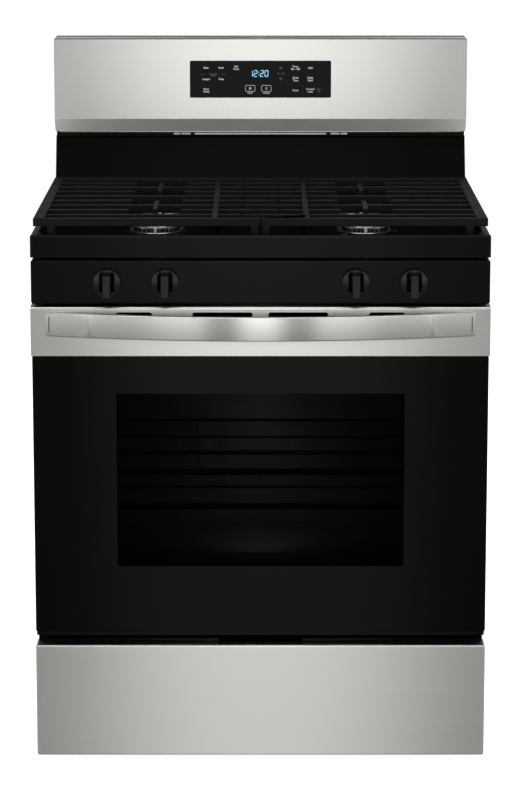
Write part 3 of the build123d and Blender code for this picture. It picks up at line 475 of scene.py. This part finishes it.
def soften(node, width, angle=30.0, segments=3):
    """Round a CAD node's sharp edges with live modifiers; its own mesh stays as it is."""
    piece = nodes[node]
    weld = piece.modifiers.new("weld", "WELD")
    weld.merge_threshold = 0.01 * MM
    flat = piece.modifiers.new("flatten", "DECIMATE")
    flat.decimate_type = "DISSOLVE"
    flat.angle_limit = math.radians(0.5)
    bevel = piece.modifiers.new("edges", "BEVEL")
    bevel.width = width
    bevel.segments = segments
    bevel.limit_method = "ANGLE"
    bevel.angle_limit = math.radians(angle)
    bevel.harden_normals = False
    even = piece.modifiers.new("shading", "WEIGHTED_NORMAL")
    even.keep_sharp = False


# ---- One operator for each piece or group of like pieces ----
class RANGE_OT_finishes(bpy.types.Operator):
    """Give every carried-over part its finish"""

    bl_idname = "gas_range.finishes"
    bl_label = "Finishes"

    def execute(self, context):
        for part in frame["record"]["subparts"]:
            piece = nodes[part["node"]]
            for place in piece.material_slots:
                place.material = finish(part["material_slot"])
        return {"FINISHED"}


class RANGE_OT_edges(bpy.types.Operator):
    """Round the edges of the castings, folded sheets and glass"""

    bl_idname = "gas_range.edges"
    bl_label = "Edges"

    def execute(self, context):
        for node in ("grate_left", "grate_right"):
            soften(node, sizes().grate_edge)
        for node in ("console_shell", "backguard_riser", "oven_vent_strip", "console_rear_cover"):
            soften(node, sizes().sheet_edge)
        soften("control_glass", sizes().glass_edge)
        return {"FINISHED"}


class RANGE_OT_knobs(bpy.types.Operator):
    """Make the four scooped knobs"""

    bl_idname = "gas_range.knobs"
    bl_label = "Knobs"

    def execute(self, context):
        for spot in KNOBS:
            node = "knob_" + spot
            low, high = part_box(node)
            middle = (low + high) / 2
            mesh = knob_mesh(middle, (high.x - low.x) / 2, high.y, high.y - low.y)
            keep("knob_body_" + spot, mesh, node, "knob_plastic", smooth=38.0, instead_of=(node,))
        return {"FINISHED"}


def ease(value):
    value = max(0.0, min(1.0, value))
    return value * value * (3 - 2 * value)


def knob_mesh(middle, radius, back, length):
    """A skirt that falls off outwards, a scoop at each side and an upright grip whose upper end slopes back."""
    rows, scoop_steps, rim_steps = 96, 5, 8
    crest, floor = sizes().knob_rim, sizes().knob_floor
    fall, inner = 4.0 * MM, 13.0 * MM
    grip_foot, grip_half, scoop_end, lip, edge_round = 7.2 * MM, 6.3 * MM, 12.2 * MM, 0.6 * MM, 0.5 * MM
    scoop_reach, scoop_slope = 14.5 * MM, 3.5 * MM
    upper_gap, upper_slope, lower_gap, lower_slope = 2.4 * MM, 6.0 * MM, 0.4 * MM, 1.6 * MM
    mark_half, mark_low, mark_high, mark_deep, mark_slope = 0.7 * MM, 3 * MM, 10 * MM, 0.6 * MM, 0.25 * MM

    def crown(x, z):
        return crest - fall * max(0.0, min(1.0, (math.hypot(x, z) - inner) / (radius - inner)))

    points, grid = [], []
    for row in range(rows + 1):
        z = radius * math.sin(math.pi * (row / rows - 0.5))
        edge = math.sqrt(max(radius * radius - z * z, 0.0))
        shut = ease((abs(z) - scoop_reach) / scoop_slope)
        upper = ease((radius - upper_gap - z) / upper_slope)
        lower = ease((radius - lower_gap + z) / lower_slope)
        top = crown(0, z) + (length - crown(0, z)) * min(upper, lower)
        marked = mark_deep if mark_low < z < mark_high else 0.0
        half = [(0.0, top - marked), (mark_half, top - marked), (mark_half + mark_slope, top)]
        half += [(grip_half - 1.2 * MM, top), (grip_half - 0.35 * MM, top - 0.25 * MM), (grip_half, top - 0.9 * MM)]
        for step in range(scoop_steps):
            x = grip_foot + (scoop_end - grip_foot) * step / scoop_steps
            half.append((x, floor + (crown(x, z) - floor) * max(shut, step / scoop_steps)))
        for step in range(rim_steps + 1):
            x = scoop_end + lip + (radius - scoop_end - lip) * step / rim_steps
            half.append((x, crown(x, z)))
        half = [(min(x, edge), min(depth, top)) for x, depth in half]
        half[-1] = (edge, min(half[-2][1], crown(edge, z)) - edge_round)
        half[-2] = (max(edge - edge_round, min(half[-3][0], edge)), half[-2][1])
        line = [(-x, depth) for x, depth in reversed(half[1:])] + half
        start = len(points)
        points += [Vector((middle.x + x, back - depth, middle.z + z)) for x, depth in line]
        points += [Vector((middle.x + x, back, middle.z + z)) for x in (-edge, edge)]
        grid.append((start, len(line)))
    faces = []
    for (here, count), (there, _) in zip(grid, grid[1:]):
        faces += [(here + k, here + k + 1, there + k + 1, there + k) for k in range(count - 1)]
        faces += [(here + count, here, there, there + count)]
        faces += [(here + count - 1, here + count + 1, there + count + 1, there + count - 1)]
        faces += [(here + count + 1, here + count, there + count, there + count + 1)]
    return mesh_of("knob", points, faces)


class RANGE_OT_handle(bpy.types.Operator):
    """Make the bowed handle, and near its ends thin dark plates that paint the shade in the gaps between the handle and
    the trim
    """

    bl_idname = "gas_range.handle"
    bl_label = "Handle"

    def execute(self, context):
        low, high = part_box("door_handle")
        bow, thick = sizes().handle_bow, sizes().handle_sheet
        half = high.x
        radius = (half * half + bow * bow) / (2 * bow)
        steps, corner, corner_steps, chamfer = 128, 2.5 * MM, 5, 0.6 * MM
        # Size and place of the dark plates that paint the shade in the gaps near the handle's ends.
        slit_inset, slit_half, slit_half_tall = 5.5 * MM, 0.7 * MM, 13 * MM
        tall = (high.z - low.z) / 2
        middle = (high.z + low.z) / 2
        outline = []
        for sign in (-1, 1):
            for turn in range(corner_steps + 1)[::-sign]:
                angle = math.pi / 2 * turn / corner_steps
                outline.append((corner * (1 - math.sin(angle)), sign * (tall - corner + corner * math.cos(angle))))
        outline += [(thick - chamfer, tall), (thick, tall - chamfer), (thick, chamfer - tall), (thick - chamfer, -tall)]
        points, faces = [], []
        for step in range(steps + 1):
            x = half * (2 * step / steps - 1)
            for depth, rise in outline:
                inner = radius - depth
                y = low.y + radius - math.sqrt(inner * inner - x * x)
                points.append((x, min(y, high.y), middle + rise))
        count = len(outline)
        for step in range(steps):
            here, there = step * count, (step + 1) * count
            faces += [(here + k, there + k, there + (k + 1) % count, here + (k + 1) % count) for k in range(count)]
        faces += [tuple(range(count)), tuple(reversed(range(steps * count, (steps + 1) * count)))]
        mesh = mesh_of("handle", points, faces)
        keep("bowed_handle", mesh, "oven_door", "stainless", instead_of=("door_handle",))
        # Painted shade: a near-black plate near each end of the handle stands in for the shadow in the gap there.
        painted_shade_plates = []
        for side in (-1, 1):
            x = side * (half - slit_inset)
            face = low.y + radius - math.sqrt(radius * radius - x * x)
            painted_shade_plate = rounded(x, middle, slit_half, slit_half_tall, 0.6 * MM, 3)
            painted_shade_plates.append(mesh_of("painted_shade_plate", *plate(painted_shade_plate, face - 0.25 * MM, face + 3 * MM)))
        keep("handle_end_painted_shade", joined("painted_shade_plates", painted_shade_plates), "oven_door", "knob_plastic")
        return {"FINISHED"}


class RANGE_OT_burners(bpy.types.Operator):
    """Make the burner heads, their flame ports and the raised rings of the pan round them"""

    bl_idname = "gas_range.burners"
    bl_label = "Burners"

    def execute(self, context):
        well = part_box("burner_bases")[0].z + HEAD_DROP * MM
        spots = []
        for name in BURNERS:
            low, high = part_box("burner_cap_" + name)
            spots.append(Vector(((low.x + high.x) / 2, (low.y + high.y) / 2, well)))
        for name, outline, slot, old in TURNED:
            made = joined(name, [turned(outline, spot) for spot in spots])
            keep(name, made, "range_body", slot, instead_of=old)
        values = {
            "Count": sizes().port_count,
            "Radius": PORT_RADIUS * MM,
            "Rise": PORT_RISE * MM,
            "Finish": finish("burner_aluminium"),
        }
        ports = grown("ports", ports_tree(), spots, values)
        keep("burner_ports", ports, "range_body", "burner_aluminium")
        return {"FINISHED"}


# Circle and height of the flame ports, and how far a burner head reaches below the pan, in millimetres.
PORT_RADIUS, PORT_RISE, HEAD_DROP = 39.6, 4.6, 26.0
# Outlines (radius, height above the pan) in millimetres: pan ring, burner head and a near-black band of painted shade
# behind and under its ports.
RING = ((50.9, -0.4), (50.9, 0.1), (51.3, 1.2), (52.2, 1.7), (53.2, 1.5), (54.0, 0.1), (54.0, -0.4))
HEAD = (
    (22.0, -20.0), (22.0, 12.0), (37.6, 12.0), (38.8, 11.7), (39.9, 10.3), (40.4, 9.2), (40.4, 7.8), (39.9, 7.3),
    (38.6, 7.0), (38.6, 1.4), (43.5, 1.3), (44.6, 1.9), (46.0, 1.9), (46.6, 1.2), (46.6, 0.0), (32.0, -0.2),
    (32.0, -HEAD_DROP), (24.0, -HEAD_DROP), (24.0, -20.0),
)
PAINTED_PORT_SHADE = ((38.4, 0.6), (43.8, 0.6), (43.8, 1.8), (39.3, 2.2), (39.3, 7.1), (38.4, 7.1))
# Each turned piece: its name, outline, finish and the carried-over part that it stands for.
TURNED = (
    ("pan_rings", RING, "black_enamel", ()),
    ("burner_heads", HEAD, "burner_aluminium", ("burner_bases",)),
    # The port band is painted shade: near-black enamel over the head where the port openings fall into shadow.
    ("burner_port_painted_shade", PAINTED_PORT_SHADE, "cap_enamel", ()),
)


def turned(outline, centre):
    return lathe("turned", [(radius * MM, height * MM) for radius, height in outline], centre)


def ports_tree():
    """Ribs between the flame ports: boxes set round a circle, one circle on each point."""
    tree, given, out = tree_with(
        "flame_ports",
        [("Count", "Int"), ("Radius", "Float"), ("Rise", "Float"), ("Finish", "Material")],
    )
    circle = add(tree, "GeometryNodeMeshCircle", Vertices=given["Count"], Radius=given["Radius"])
    rib = add(tree, "GeometryNodeMeshCube", Size=(1.6 * MM, 2.6 * MM, 5.0 * MM))
    index = add(tree, "GeometryNodeInputIndex").outputs[0]
    turn = add(tree, "ShaderNodeMath", operation="DIVIDE", i0=index, i1=given["Count"]).outputs[0]
    angle = add(tree, "ShaderNodeMath", operation="MULTIPLY", i0=turn, i1=2 * math.pi).outputs[0]
    spin = add(tree, "ShaderNodeCombineXYZ", Z=angle).outputs[0]
    facing = add(tree, "FunctionNodeEulerToRotation", Euler=spin).outputs[0]
    ring = add(
        tree, "GeometryNodeInstanceOnPoints", Points=circle.outputs[0], Instance=rib.outputs[0], Rotation=facing
    )
    lift = add(tree, "ShaderNodeCombineXYZ", Z=given["Rise"]).outputs[0]
    raised = add(tree, "GeometryNodeTransform", Geometry=ring.outputs[0], Translation=lift)
    every = add(tree, "GeometryNodeInstanceOnPoints", Points=given["Geometry"], Instance=raised.outputs[0])
    real = add(tree, "GeometryNodeRealizeInstances", Geometry=every.outputs[0])
    done = add(tree, "GeometryNodeSetMaterial", Geometry=real.outputs[0], Material=given["Finish"])
    tree.links.new(done.outputs[0], out.inputs[0])
    return tree


class RANGE_OT_vent(bpy.types.Operator):
    """Add the satin bevel and folded hem under the console and the bright sheet behind the vent's slots"""

    bl_idname = "gas_range.vent"
    bl_label = "Console hem and vent"

    def execute(self, context):
        low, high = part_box("console_shell")
        strip_low, strip_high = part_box("oven_vent_strip")
        hem_drop, hem_inset, hem_half, hem_stand = 1.9 * MM, 7 * MM, 0.7 * MM, 1.8 * MM
        bevel_rise, bevel_run, skin_deep, end_gap = 24.9, 17.0, 0.25 * MM, 0.2 * MM
        hem = rounded(0.0, strip_high.z - hem_drop, high.x - hem_inset, hem_half, 0.6 * MM, 4)
        fold = mesh_of("hem", *plate(hem, strip_low.y - hem_stand, strip_low.y - 0.2 * MM))
        keep("console_hem", fold, "range_body", "stainless")
        upper, lower = (low.y, low.z + bevel_rise * MM), (low.y + bevel_run * MM, low.z)
        skin = Vector((-bevel_rise, -bevel_run)).normalized() * skin_deep
        outline = [upper, lower, (lower[0] + skin.x, lower[1] + skin.y), (upper[0] + skin.x, upper[1] + skin.y)]
        points = [(x, y, z) for x in (low.x + end_gap, high.x - end_gap) for y, z in outline]
        faces = [(0, 1, 2, 3), (7, 6, 5, 4)] + [(k, (k + 1) % 4, (k + 1) % 4 + 4, k + 4) for k in range(4)]
        keep("console_bevel", mesh_of("bevel", points, faces), "range_body", materials=(finish("satin_steel"),))
        bars, bar_half, bar_front, bar_back = [], 1.3 * MM, 0.3 * MM, 0.9 * MM
        rise = (strip_low.z + strip_high.z) / 2 - 0.8 * MM
        for start, end in VENT_SLOTS:
            bar = rounded((start + end) / 2 * MM, rise, (end - start) / 2 * MM, bar_half, 0.6 * MM, 3)
            bars.append(mesh_of("bar", *plate(bar, strip_low.y + bar_front, strip_low.y + bar_back)))
        keep("vent_slot_bars", joined("vent_slot_bars", bars), "range_body", "tube_aluminium")
        return {"FINISHED"}


# The slots between the riser and the console, in millimetres either side of the middle.
VENT_SLOTS = ((-122, 122), (130, 147), (149, 161), (-147, -130), (-161, -149))


class RANGE_OT_door_glass(bpy.types.Operator):
    """Make the door glass: a black printed border round a tinted window"""

    bl_idname = "gas_range.door_glass"
    bl_label = "Door glass"

    def execute(self, context):
        low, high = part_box("door_outer_glass")
        wide, tall = sizes().window_width / 2, sizes().window_height / 2
        centre = low.z + sizes().window_rise + tall
        window = rounded(0.0, centre, wide, tall, 2.5 * MM)
        middle = (low.z + high.z) / 2
        border = rounded((low.x + high.x) / 2, middle, (high.x - low.x) / 2, (high.z - low.z) / 2, 1.5 * MM, 3)
        work = bmesh.new()
        for y in (low.y, high.y):
            loops = []
            for outline in (border, window):
                ring = [work.verts.new((x, y, z)) for x, z in outline]
                loops.append([work.edges.new((a, b)) for a, b in zip(ring, ring[1:] + ring[:1])])
                if outline is window:
                    work.faces.new(ring).material_index = 1
            bmesh.ops.triangle_fill(work, use_beauty=True, edges=loops[0] + loops[1])
        work.verts.ensure_lookup_table()
        count, jump = len(border), len(border) + len(window)
        for k in range(count):
            a, b = work.verts[k], work.verts[(k + 1) % count]
            c, d = work.verts[(k + 1) % count + jump], work.verts[k + jump]
            work.faces.new((a, b, c, d))
        mesh = bpy.data.meshes.new("door_glass")
        work.to_mesh(mesh)
        work.free()
        both = (finish("black_glass"), finish("tinted_window"))
        keep("door_glass", mesh, "oven_door", "black_glass", both, instead_of=("door_outer_glass",))
        return {"FINISHED"}


class RANGE_OT_gasket(bpy.types.Operator):
    """Make the twisted rope round the oven door's plug"""

    bl_idname = "gas_range.gasket"
    bl_label = "Door gasket"

    def execute(self, context):
        low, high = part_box("door_gasket")
        thick = (high.y - low.y) / 2
        values = {
            "Width": high.x - low.x - 3.2 * thick,
            "Height": high.z - low.z - 3.2 * thick,
            "Corner": 24 * MM,
            "Thickness": thick,
            "Lay": sizes().rope_lay,
            "Centre": (low + high) / 2,
            "Finish": finish("gasket_fibre"),
        }
        rope = grown("rope", rope_tree(), [(0.0, 0.0, 0.0)], values)
        keep("gasket_rope", rope, "oven_door", "gasket_fibre", smooth=60.0, instead_of=("door_gasket",))
        return {"FINISHED"}


def rope_tree():
    """A lobed section swept round a rounded rectangle and turned once in every lay length."""
    tree, given, out = tree_with(
        "gasket_rope",
        [("Width", "Float"), ("Height", "Float"), ("Corner", "Float"), ("Thickness", "Float"), ("Lay", "Float")]
        + [("Centre", "Vector"), ("Finish", "Material")],
    )
    square = add(tree, "GeometryNodeCurvePrimitiveQuadrilateral", Width=given["Width"], Height=given["Height"])
    bend = add(tree, "GeometryNodeFilletCurve", mode="POLY", Curve=square.outputs[0], Count=10, Radius=given["Corner"])
    even = add(tree, "GeometryNodeResampleCurve", mode="LENGTH", Curve=bend.outputs[0], Length=1.6 * MM)
    stood = (math.pi / 2, 0, 0)
    upright = add(tree, "GeometryNodeTransform", Geometry=even.outputs[0], Translation=given["Centre"], Rotation=stood)
    along = add(tree, "GeometryNodeSplineParameter").outputs["Length"]
    turns = add(tree, "ShaderNodeMath", operation="DIVIDE", i0=along, i1=given["Lay"]).outputs[0]
    angle = add(tree, "ShaderNodeMath", operation="MULTIPLY", i0=turns, i1=2 * math.pi).outputs[0]
    tilted = add(tree, "GeometryNodeSetCurveTilt", Curve=upright.outputs[0], Tilt=angle)
    waist = add(tree, "ShaderNodeMath", operation="MULTIPLY", i0=given["Thickness"], i1=0.72).outputs[0]
    lobes = add(
        tree, "GeometryNodeCurveStar", Points=4, Inner_Radius=waist, Outer_Radius=given["Thickness"], Twist=0.0
    )
    swept = add(tree, "GeometryNodeCurveToMesh", Curve=tilted.outputs[0], Profile_Curve=lobes.outputs[0])
    done = add(tree, "GeometryNodeSetMaterial", Geometry=swept.outputs[0], Material=given["Finish"])
    tree.links.new(done.outputs[0], out.inputs[0])
    return tree


# Legends on the console glass: (ink, letter height) to (words, across, up), in millimetres from its middle.
LEGENDS = {
    ("white", 3.3): (
        ("Bake", -99.9, 21.1), ("Broil", -72.3, 21.1), ("Self", -44.9, 23.4), ("Clean", -44.9, 18.7),
        ("Lasagna", -99.9, 0.2), ("Pizza", -72.3, 0.2), ("Keep", -99.9, -18.2), ("Warm", -99.9, -23.0),
        ("Timer", 64.2, 23.4), ("Set - Off", 64.2, 18.7), ("Light", 91.6, 21.1), ("Cook", 64.2, 2.7),
        ("Time", 64.2, -2.3), ("Delay", 91.6, 2.7), ("Start", 91.6, -2.3), ("Clock", 64.2, -20.6),
        ("Control", 91.6, -18.2), ("Lock", 91.6, -23.0),
    ),
    ("white", 2.4): (
        ("START", -18.9, -25.6), ("CANCEL", 10.8, -25.6),
    ),
    ("grey", 1.9): (
        ("SIMPLE MEAL", -86.6, 9.5), ("BAKING", -86.6, 6.4), ("TEMP / TIME", 37.2, 10.3),
        ("HOLD", 107.1, -18.3), ("3 SEC", 107.1, -22.2),
    ),
}
KEY_SPOTS, KEY_RISE = (-18.9, 10.8), -16.8
# The two keys' signs, as strokes in millimetres from the key's middle.
PLAY_SIGN = (((-1.6, 2.3), (-1.6, -2.3)), ((-1.6, 2.3), (2.4, 0.0)), ((-1.6, -2.3), (2.4, 0.0)))
CROSS_SIGN = (((-1.8, 1.8), (1.8, -1.8)), ((-1.8, -1.8), (1.8, 1.8)))
SEGMENTS = {
    "0": "abcdef", "1": "bc", "2": "abdeg", "3": "abcdg", "4": "bcfg",
    "5": "acdfg", "6": "acdefg", "7": "abc", "8": "abcdefg", "9": "abcdfg",
}


def words(text, x, y, z, tall):
    """Raised letters, facing the front, as a mesh."""
    curve = bpy.data.curves.new("words", "FONT")
    curve.body = text
    curve.size = tall / 0.70
    curve.align_x = "CENTER"
    curve.align_y = "CENTER"
    curve.extrude = 0.02 * MM
    curve.offset = 0.02 * tall
    curve.resolution_u = 2
    holder = bpy.data.objects.new("words", curve)
    bpy.context.scene.collection.objects.link(holder)
    graph = bpy.context.evaluated_depsgraph_get()
    mesh = bpy.data.meshes.new_from_object(holder.evaluated_get(graph), depsgraph=graph)
    bpy.data.objects.remove(holder)
    mesh.transform(Matrix.Translation((x, y, z)) @ Matrix.Rotation(math.pi / 2, 4, "X"))
    return mesh


def bar_mesh(start, end, width, y, deep):
    """A flat bar with pointed ends between two (x, z) points, for segments and icons."""
    a, b = Vector(start), Vector(end)
    along = (b - a).normalized()
    across = Vector((-along.y, along.x)) * width / 2
    tip = along * width / 2
    outline = [a, a + tip + across, b - tip + across, b, b - tip - across, a + tip - across]
    return mesh_of("bar", *plate([tuple(p) for p in outline], y, y + deep))


def ring_mesh(outer, inner, y, deep):
    """A flat frame between two outlines of the same count."""
    count = len(outer)
    points = [(x, depth, z) for depth in (y, y + deep) for line in (outer, inner) for x, z in line]
    faces = []
    for k in range(count):
        after = (k + 1) % count
        faces.append((k, after, count + after, count + k))
        faces.append((2 * count + after, 2 * count + k, 3 * count + k, 3 * count + after))
        faces.append((after, k, 2 * count + k, 2 * count + after))
        faces.append((count + k, count + after, 3 * count + after, 3 * count + k))
    return mesh_of("frame", points, faces)


class RANGE_OT_console(bpy.types.Operator):
    """Draw the clock, legends and keys on the console glass"""

    bl_idname = "gas_range.console"
    bl_label = "Console legends"

    def execute(self, context):
        low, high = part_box("control_glass")
        middle, face = (low + high) / 2, low.y
        ink = 0.05 * MM
        prints = {"white": [], "grey": []}
        for (tone, tall), legends in LEGENDS.items():
            for text, x, z in legends:
                prints[tone].append(words(text, middle.x + x * MM, face - ink / 2, middle.z + z * MM, tall * MM))
        for x in KEY_SPOTS:
            centre = (middle.x + x * MM, middle.z + KEY_RISE * MM)
            outer = rounded(*centre, 9.0 * MM, 5.8 * MM, 2.0 * MM)
            inner = rounded(*centre, 8.4 * MM, 5.2 * MM, 1.4 * MM)
            prints["white"].append(ring_mesh(outer, inner, face - ink, ink))

        def stroke(tone, centre, start, end, wide=0.8):
            ends = [centre + Vector(point) * MM for point in (start, end)]
            prints[tone].append(bar_mesh(*ends, wide * MM, face - ink, ink))

        left, right = (Vector((middle.x + x * MM, middle.z + KEY_RISE * MM)) for x in KEY_SPOTS)
        for start, end in PLAY_SIGN:
            stroke("white", left, start, end)
        for start, end in CROSS_SIGN:
            stroke("white", right, start, end)
        for sign, rise in ((1, 21.1), (-1, 0.4)):
            centre = Vector((middle.x + 37.2 * MM, middle.z + rise * MM))
            for x in (-2.6, 2.6):
                stroke("grey", centre, (x, -1.6 * sign), (0.0, 2.4 * sign))
            stroke("grey", centre, (-2.6, -1.6 * sign), (2.6, -1.6 * sign))
        for x in (-106.3, -67.5):
            stroke("grey", Vector((middle.x + x * MM, middle.z + 9.5 * MM)), (-4.0, 0.0), (4.0, 0.0), 0.4)
        for tone, meshes in prints.items():
            keep("legends_" + tone, joined("legends", meshes), "range_body", "print_" + tone, smooth=20.0)
        segments = clock_segments(middle, face - ink, ink)
        keep("clock_digits", joined("clock", segments), "range_body", materials=(glow(),), smooth=20.0)
        return {"FINISHED"}


def clock_segments(middle, y, deep):
    """Lit bars of a seven-segment clock, leaning slightly to the right."""
    wide, tall, stroke, lean = 5.6 * MM, 11.0 * MM, 1.6 * MM, 0.06
    gap, colon_wide, dot_half = 2.8 * MM, 3.2 * MM, Vector((0, stroke * 0.6))
    base = middle.z + 5.1 * MM
    x = middle.x - 20.5 * MM
    ends = {
        "a": ((0, 1), (1, 1)), "b": ((1, 1), (1, 0.5)), "c": ((1, 0.5), (1, 0)), "d": ((0, 0), (1, 0)),
        "e": ((0, 0.5), (0, 0)), "f": ((0, 1), (0, 0.5)), "g": ((0, 0.5), (1, 0.5)),
    }
    made = []
    for mark in sizes().clock:
        if mark == ":":
            for rise in (0.28, 0.72):
                spot = Vector((x + 0.2 * MM + lean * tall * rise, base + tall * rise))
                made.append(bar_mesh(spot - dot_half, spot + dot_half, stroke, y, deep))
            x += colon_wide
            continue
        for name in SEGMENTS[mark]:
            points = [Vector((x + sx * wide + lean * tall * sz, base + sz * tall)) for sx, sz in ends[name]]
            made.append(bar_mesh(*points, stroke, y, deep))
        x += wide + gap
    return made


class RANGE_OT_stage(bpy.types.Operator):
    """Set up the floor, the studio light and the camera"""

    bl_idname = "gas_range.stage"
    bl_label = "Stage"

    def execute(self, context):
        reach, drop = 60.0, 0.5 * MM
        corners = [(x * reach, y * reach, -drop) for x, y in ((-1, -1), (1, -1), (1, 1), (-1, 1))]
        floor = bpy.data.objects.new("floor", mesh_of("floor", corners, [(0, 1, 2, 3)]))
        context.scene.collection.objects.link(floor)
        paper, tree, shader, place = begin("white_paper_sweep", linear("#F4F4F4"), Roughness=0.9)
        wave = add(tree, "ShaderNodeTexNoise", Vector=place, Scale=0.8, Detail=1.0).outputs[0]
        wire(tree, shader, Base_Color=blend(tree, wave, linear("#F2F2F2"), linear("#F7F7F7")))
        shader.inputs["Emission Color"].default_value = (1, 1, 1, 1)
        shader.inputs["Emission Strength"].default_value = 0.80
        floor.data.materials.append(paper)
        floor.visible_glossy = False
        studio_world()
        soft_light("key", (0.0, -0.6, 3.4), (0.0, -0.1, 0.5), (2.6, 1.4), 38.0)
        soft_light("left", (-3.2, -1.4, 1.9), (0.0, 0.0, 0.6), (1.2, 2.2), 14.0)
        soft_light("right", (3.2, -1.4, 1.9), (0.0, 0.0, 0.6), (1.2, 2.2), 14.0)
        soft_light("rear", (0.0, 3.2, 2.8), (0.0, 0.0, 0.7), (2.4, 1.4), 45.0, False)
        soft_light("oven", (0.0, 0.02, 0.47), (0.0, 0.22, 0.46), (0.04, 0.3), 0.9, False)
        lens = bpy.data.cameras.new("camera")
        lens.lens = 120.4
        lens.sensor_width = 36.0
        lens.shift_y = -0.18
        lens.clip_end = 200.0
        camera = bpy.data.objects.new("camera", lens)
        camera.location = (0.0, -4.634, 1.623)
        camera.rotation_euler = (math.radians(90 - 9.73), 0.0, 0.0)
        context.scene.collection.objects.link(camera)
        context.scene.camera = camera
        context.scene.view_settings.view_transform = "Standard"
        return {"FINISHED"}


def soft_light(name, place, target, size, power, mirrored=True):
    """A rectangular softbox that faces its target; glossy surfaces can be kept from mirroring it."""
    light = bpy.data.lights.new(name, "AREA")
    light.shape = "RECTANGLE"
    light.size, light.size_y = size
    light.energy = power
    holder = bpy.data.objects.new(name, light)
    holder.location = place
    holder.visible_glossy = mirrored
    holder.visible_camera = mirrored
    holder.rotation_euler = (Vector(target) - Vector(place)).to_track_quat("-Z", "Y").to_euler()
    bpy.context.scene.collection.objects.link(holder)


# Reflector boards in front of the range: (how far aside, brightness), from straight ahead outwards.
BOARDS = ((0.0, 1.0), (0.03, 0.96), (0.08, 0.25), (0.12, 0.25), (0.17, 0.72), (0.25, 0.62), (0.34, 0.42), (1.0, 0.42))


def eased(tree, value, low, high, first=0.0, last=1.0):
    """A level that goes smoothly from first to last while a value goes from low to high."""
    ends = {"From_Min": low, "From_Max": high, "To_Min": first, "To_Max": last}
    return add(tree, "ShaderNodeMapRange", Value=value, **ends, interpolation_type="SMOOTHSTEP").outputs[0]


def studio_world():
    """A pale studio in front with a bright band straight ahead, and a dim one above and behind."""
    world = bpy.data.worlds.new("studio")
    world.use_nodes = True
    tree = world.node_tree
    tree.nodes.clear()
    direction = add(tree, "ShaderNodeTexCoord").outputs["Generated"]
    x, y, z = add(tree, "ShaderNodeSeparateXYZ", Vector=direction).outputs
    aside = add(tree, "ShaderNodeMath", operation="ABSOLUTE", i0=x).outputs[0]
    ramp = add(tree, "ShaderNodeValToRGB", Fac=aside)
    ramp.color_ramp.interpolation = "EASE"
    while len(ramp.color_ramp.elements) < len(BOARDS):
        ramp.color_ramp.elements.new(1.0)
    for stop, (reach, light) in zip(ramp.color_ramp.elements, BOARDS):
        stop.position = reach
        stop.color = (light, light, light, 1.0)
    level = eased(tree, z, -0.45, -0.1, 0.55, 1.35)
    ahead = eased(tree, z, -0.1, 0.02, 1.0, 2.35)
    above = eased(tree, z, 0.3, 0.5, 1.0, 0.16)
    for part in (ahead, above, ramp.outputs[0]):
        level = add(tree, "ShaderNodeMath", operation="MULTIPLY", i0=level, i1=part).outputs[0]
    rear = eased(tree, z, 0.07, 0.11, 1.1, 0.12)
    behind = eased(tree, y, -0.15, 0.15)
    strength = add(tree, "ShaderNodeMix", data_type="FLOAT", i0=behind, i2=level, i3=rear).outputs[0]
    back = add(tree, "ShaderNodeBackground", Color=(1, 1, 1, 1), Strength=strength)
    add(tree, "ShaderNodeOutputWorld", Surface=back.outputs[0])
    bpy.context.scene.world = world


class RANGE_PT_panel(bpy.types.Panel):
    """Sizes, colours and steps of the gas range"""

    bl_idname = "RANGE_PT_panel"
    bl_label = "Gas range"
    bl_space_type = "VIEW_3D"
    bl_region_type = "UI"
    bl_category = "Gas range"

    def draw(self, context):
        layout = self.layout
        for group in (context.scene.range_sizes, context.scene.range_colours):
            column = layout.column(align=True)
            for name in group.bl_rna.properties.keys():
                if name not in {"rna_type", "name"}:
                    column.prop(group, name)
        for operator in OPERATORS:
            layout.operator(operator.bl_idname)


OPERATORS = (
    RANGE_OT_stage,
    RANGE_OT_finishes,
    RANGE_OT_edges,
    RANGE_OT_knobs,
    RANGE_OT_handle,
    RANGE_OT_burners,
    RANGE_OT_vent,
    RANGE_OT_door_glass,
    RANGE_OT_gasket,
    RANGE_OT_console,
)
CLASSES = (RangeSizes, RangeColours, *OPERATORS, RANGE_PT_panel)


def register():
    for each in CLASSES:
        bpy.utils.register_class(each)
    bpy.types.Scene.range_sizes = PointerProperty(type=RangeSizes)
    bpy.types.Scene.range_colours = PointerProperty(type=RangeColours)


def unregister():
    del bpy.types.Scene.range_colours
    del bpy.types.Scene.range_sizes
    for each in reversed(CLASSES):
        bpy.utils.unregister_class(each)


def main():
    register()
    for operator in OPERATORS:
        group, name = operator.bl_idname.split(".")
        getattr(getattr(bpy.ops, group), name)()


if __name__ == "__main__":
    main()
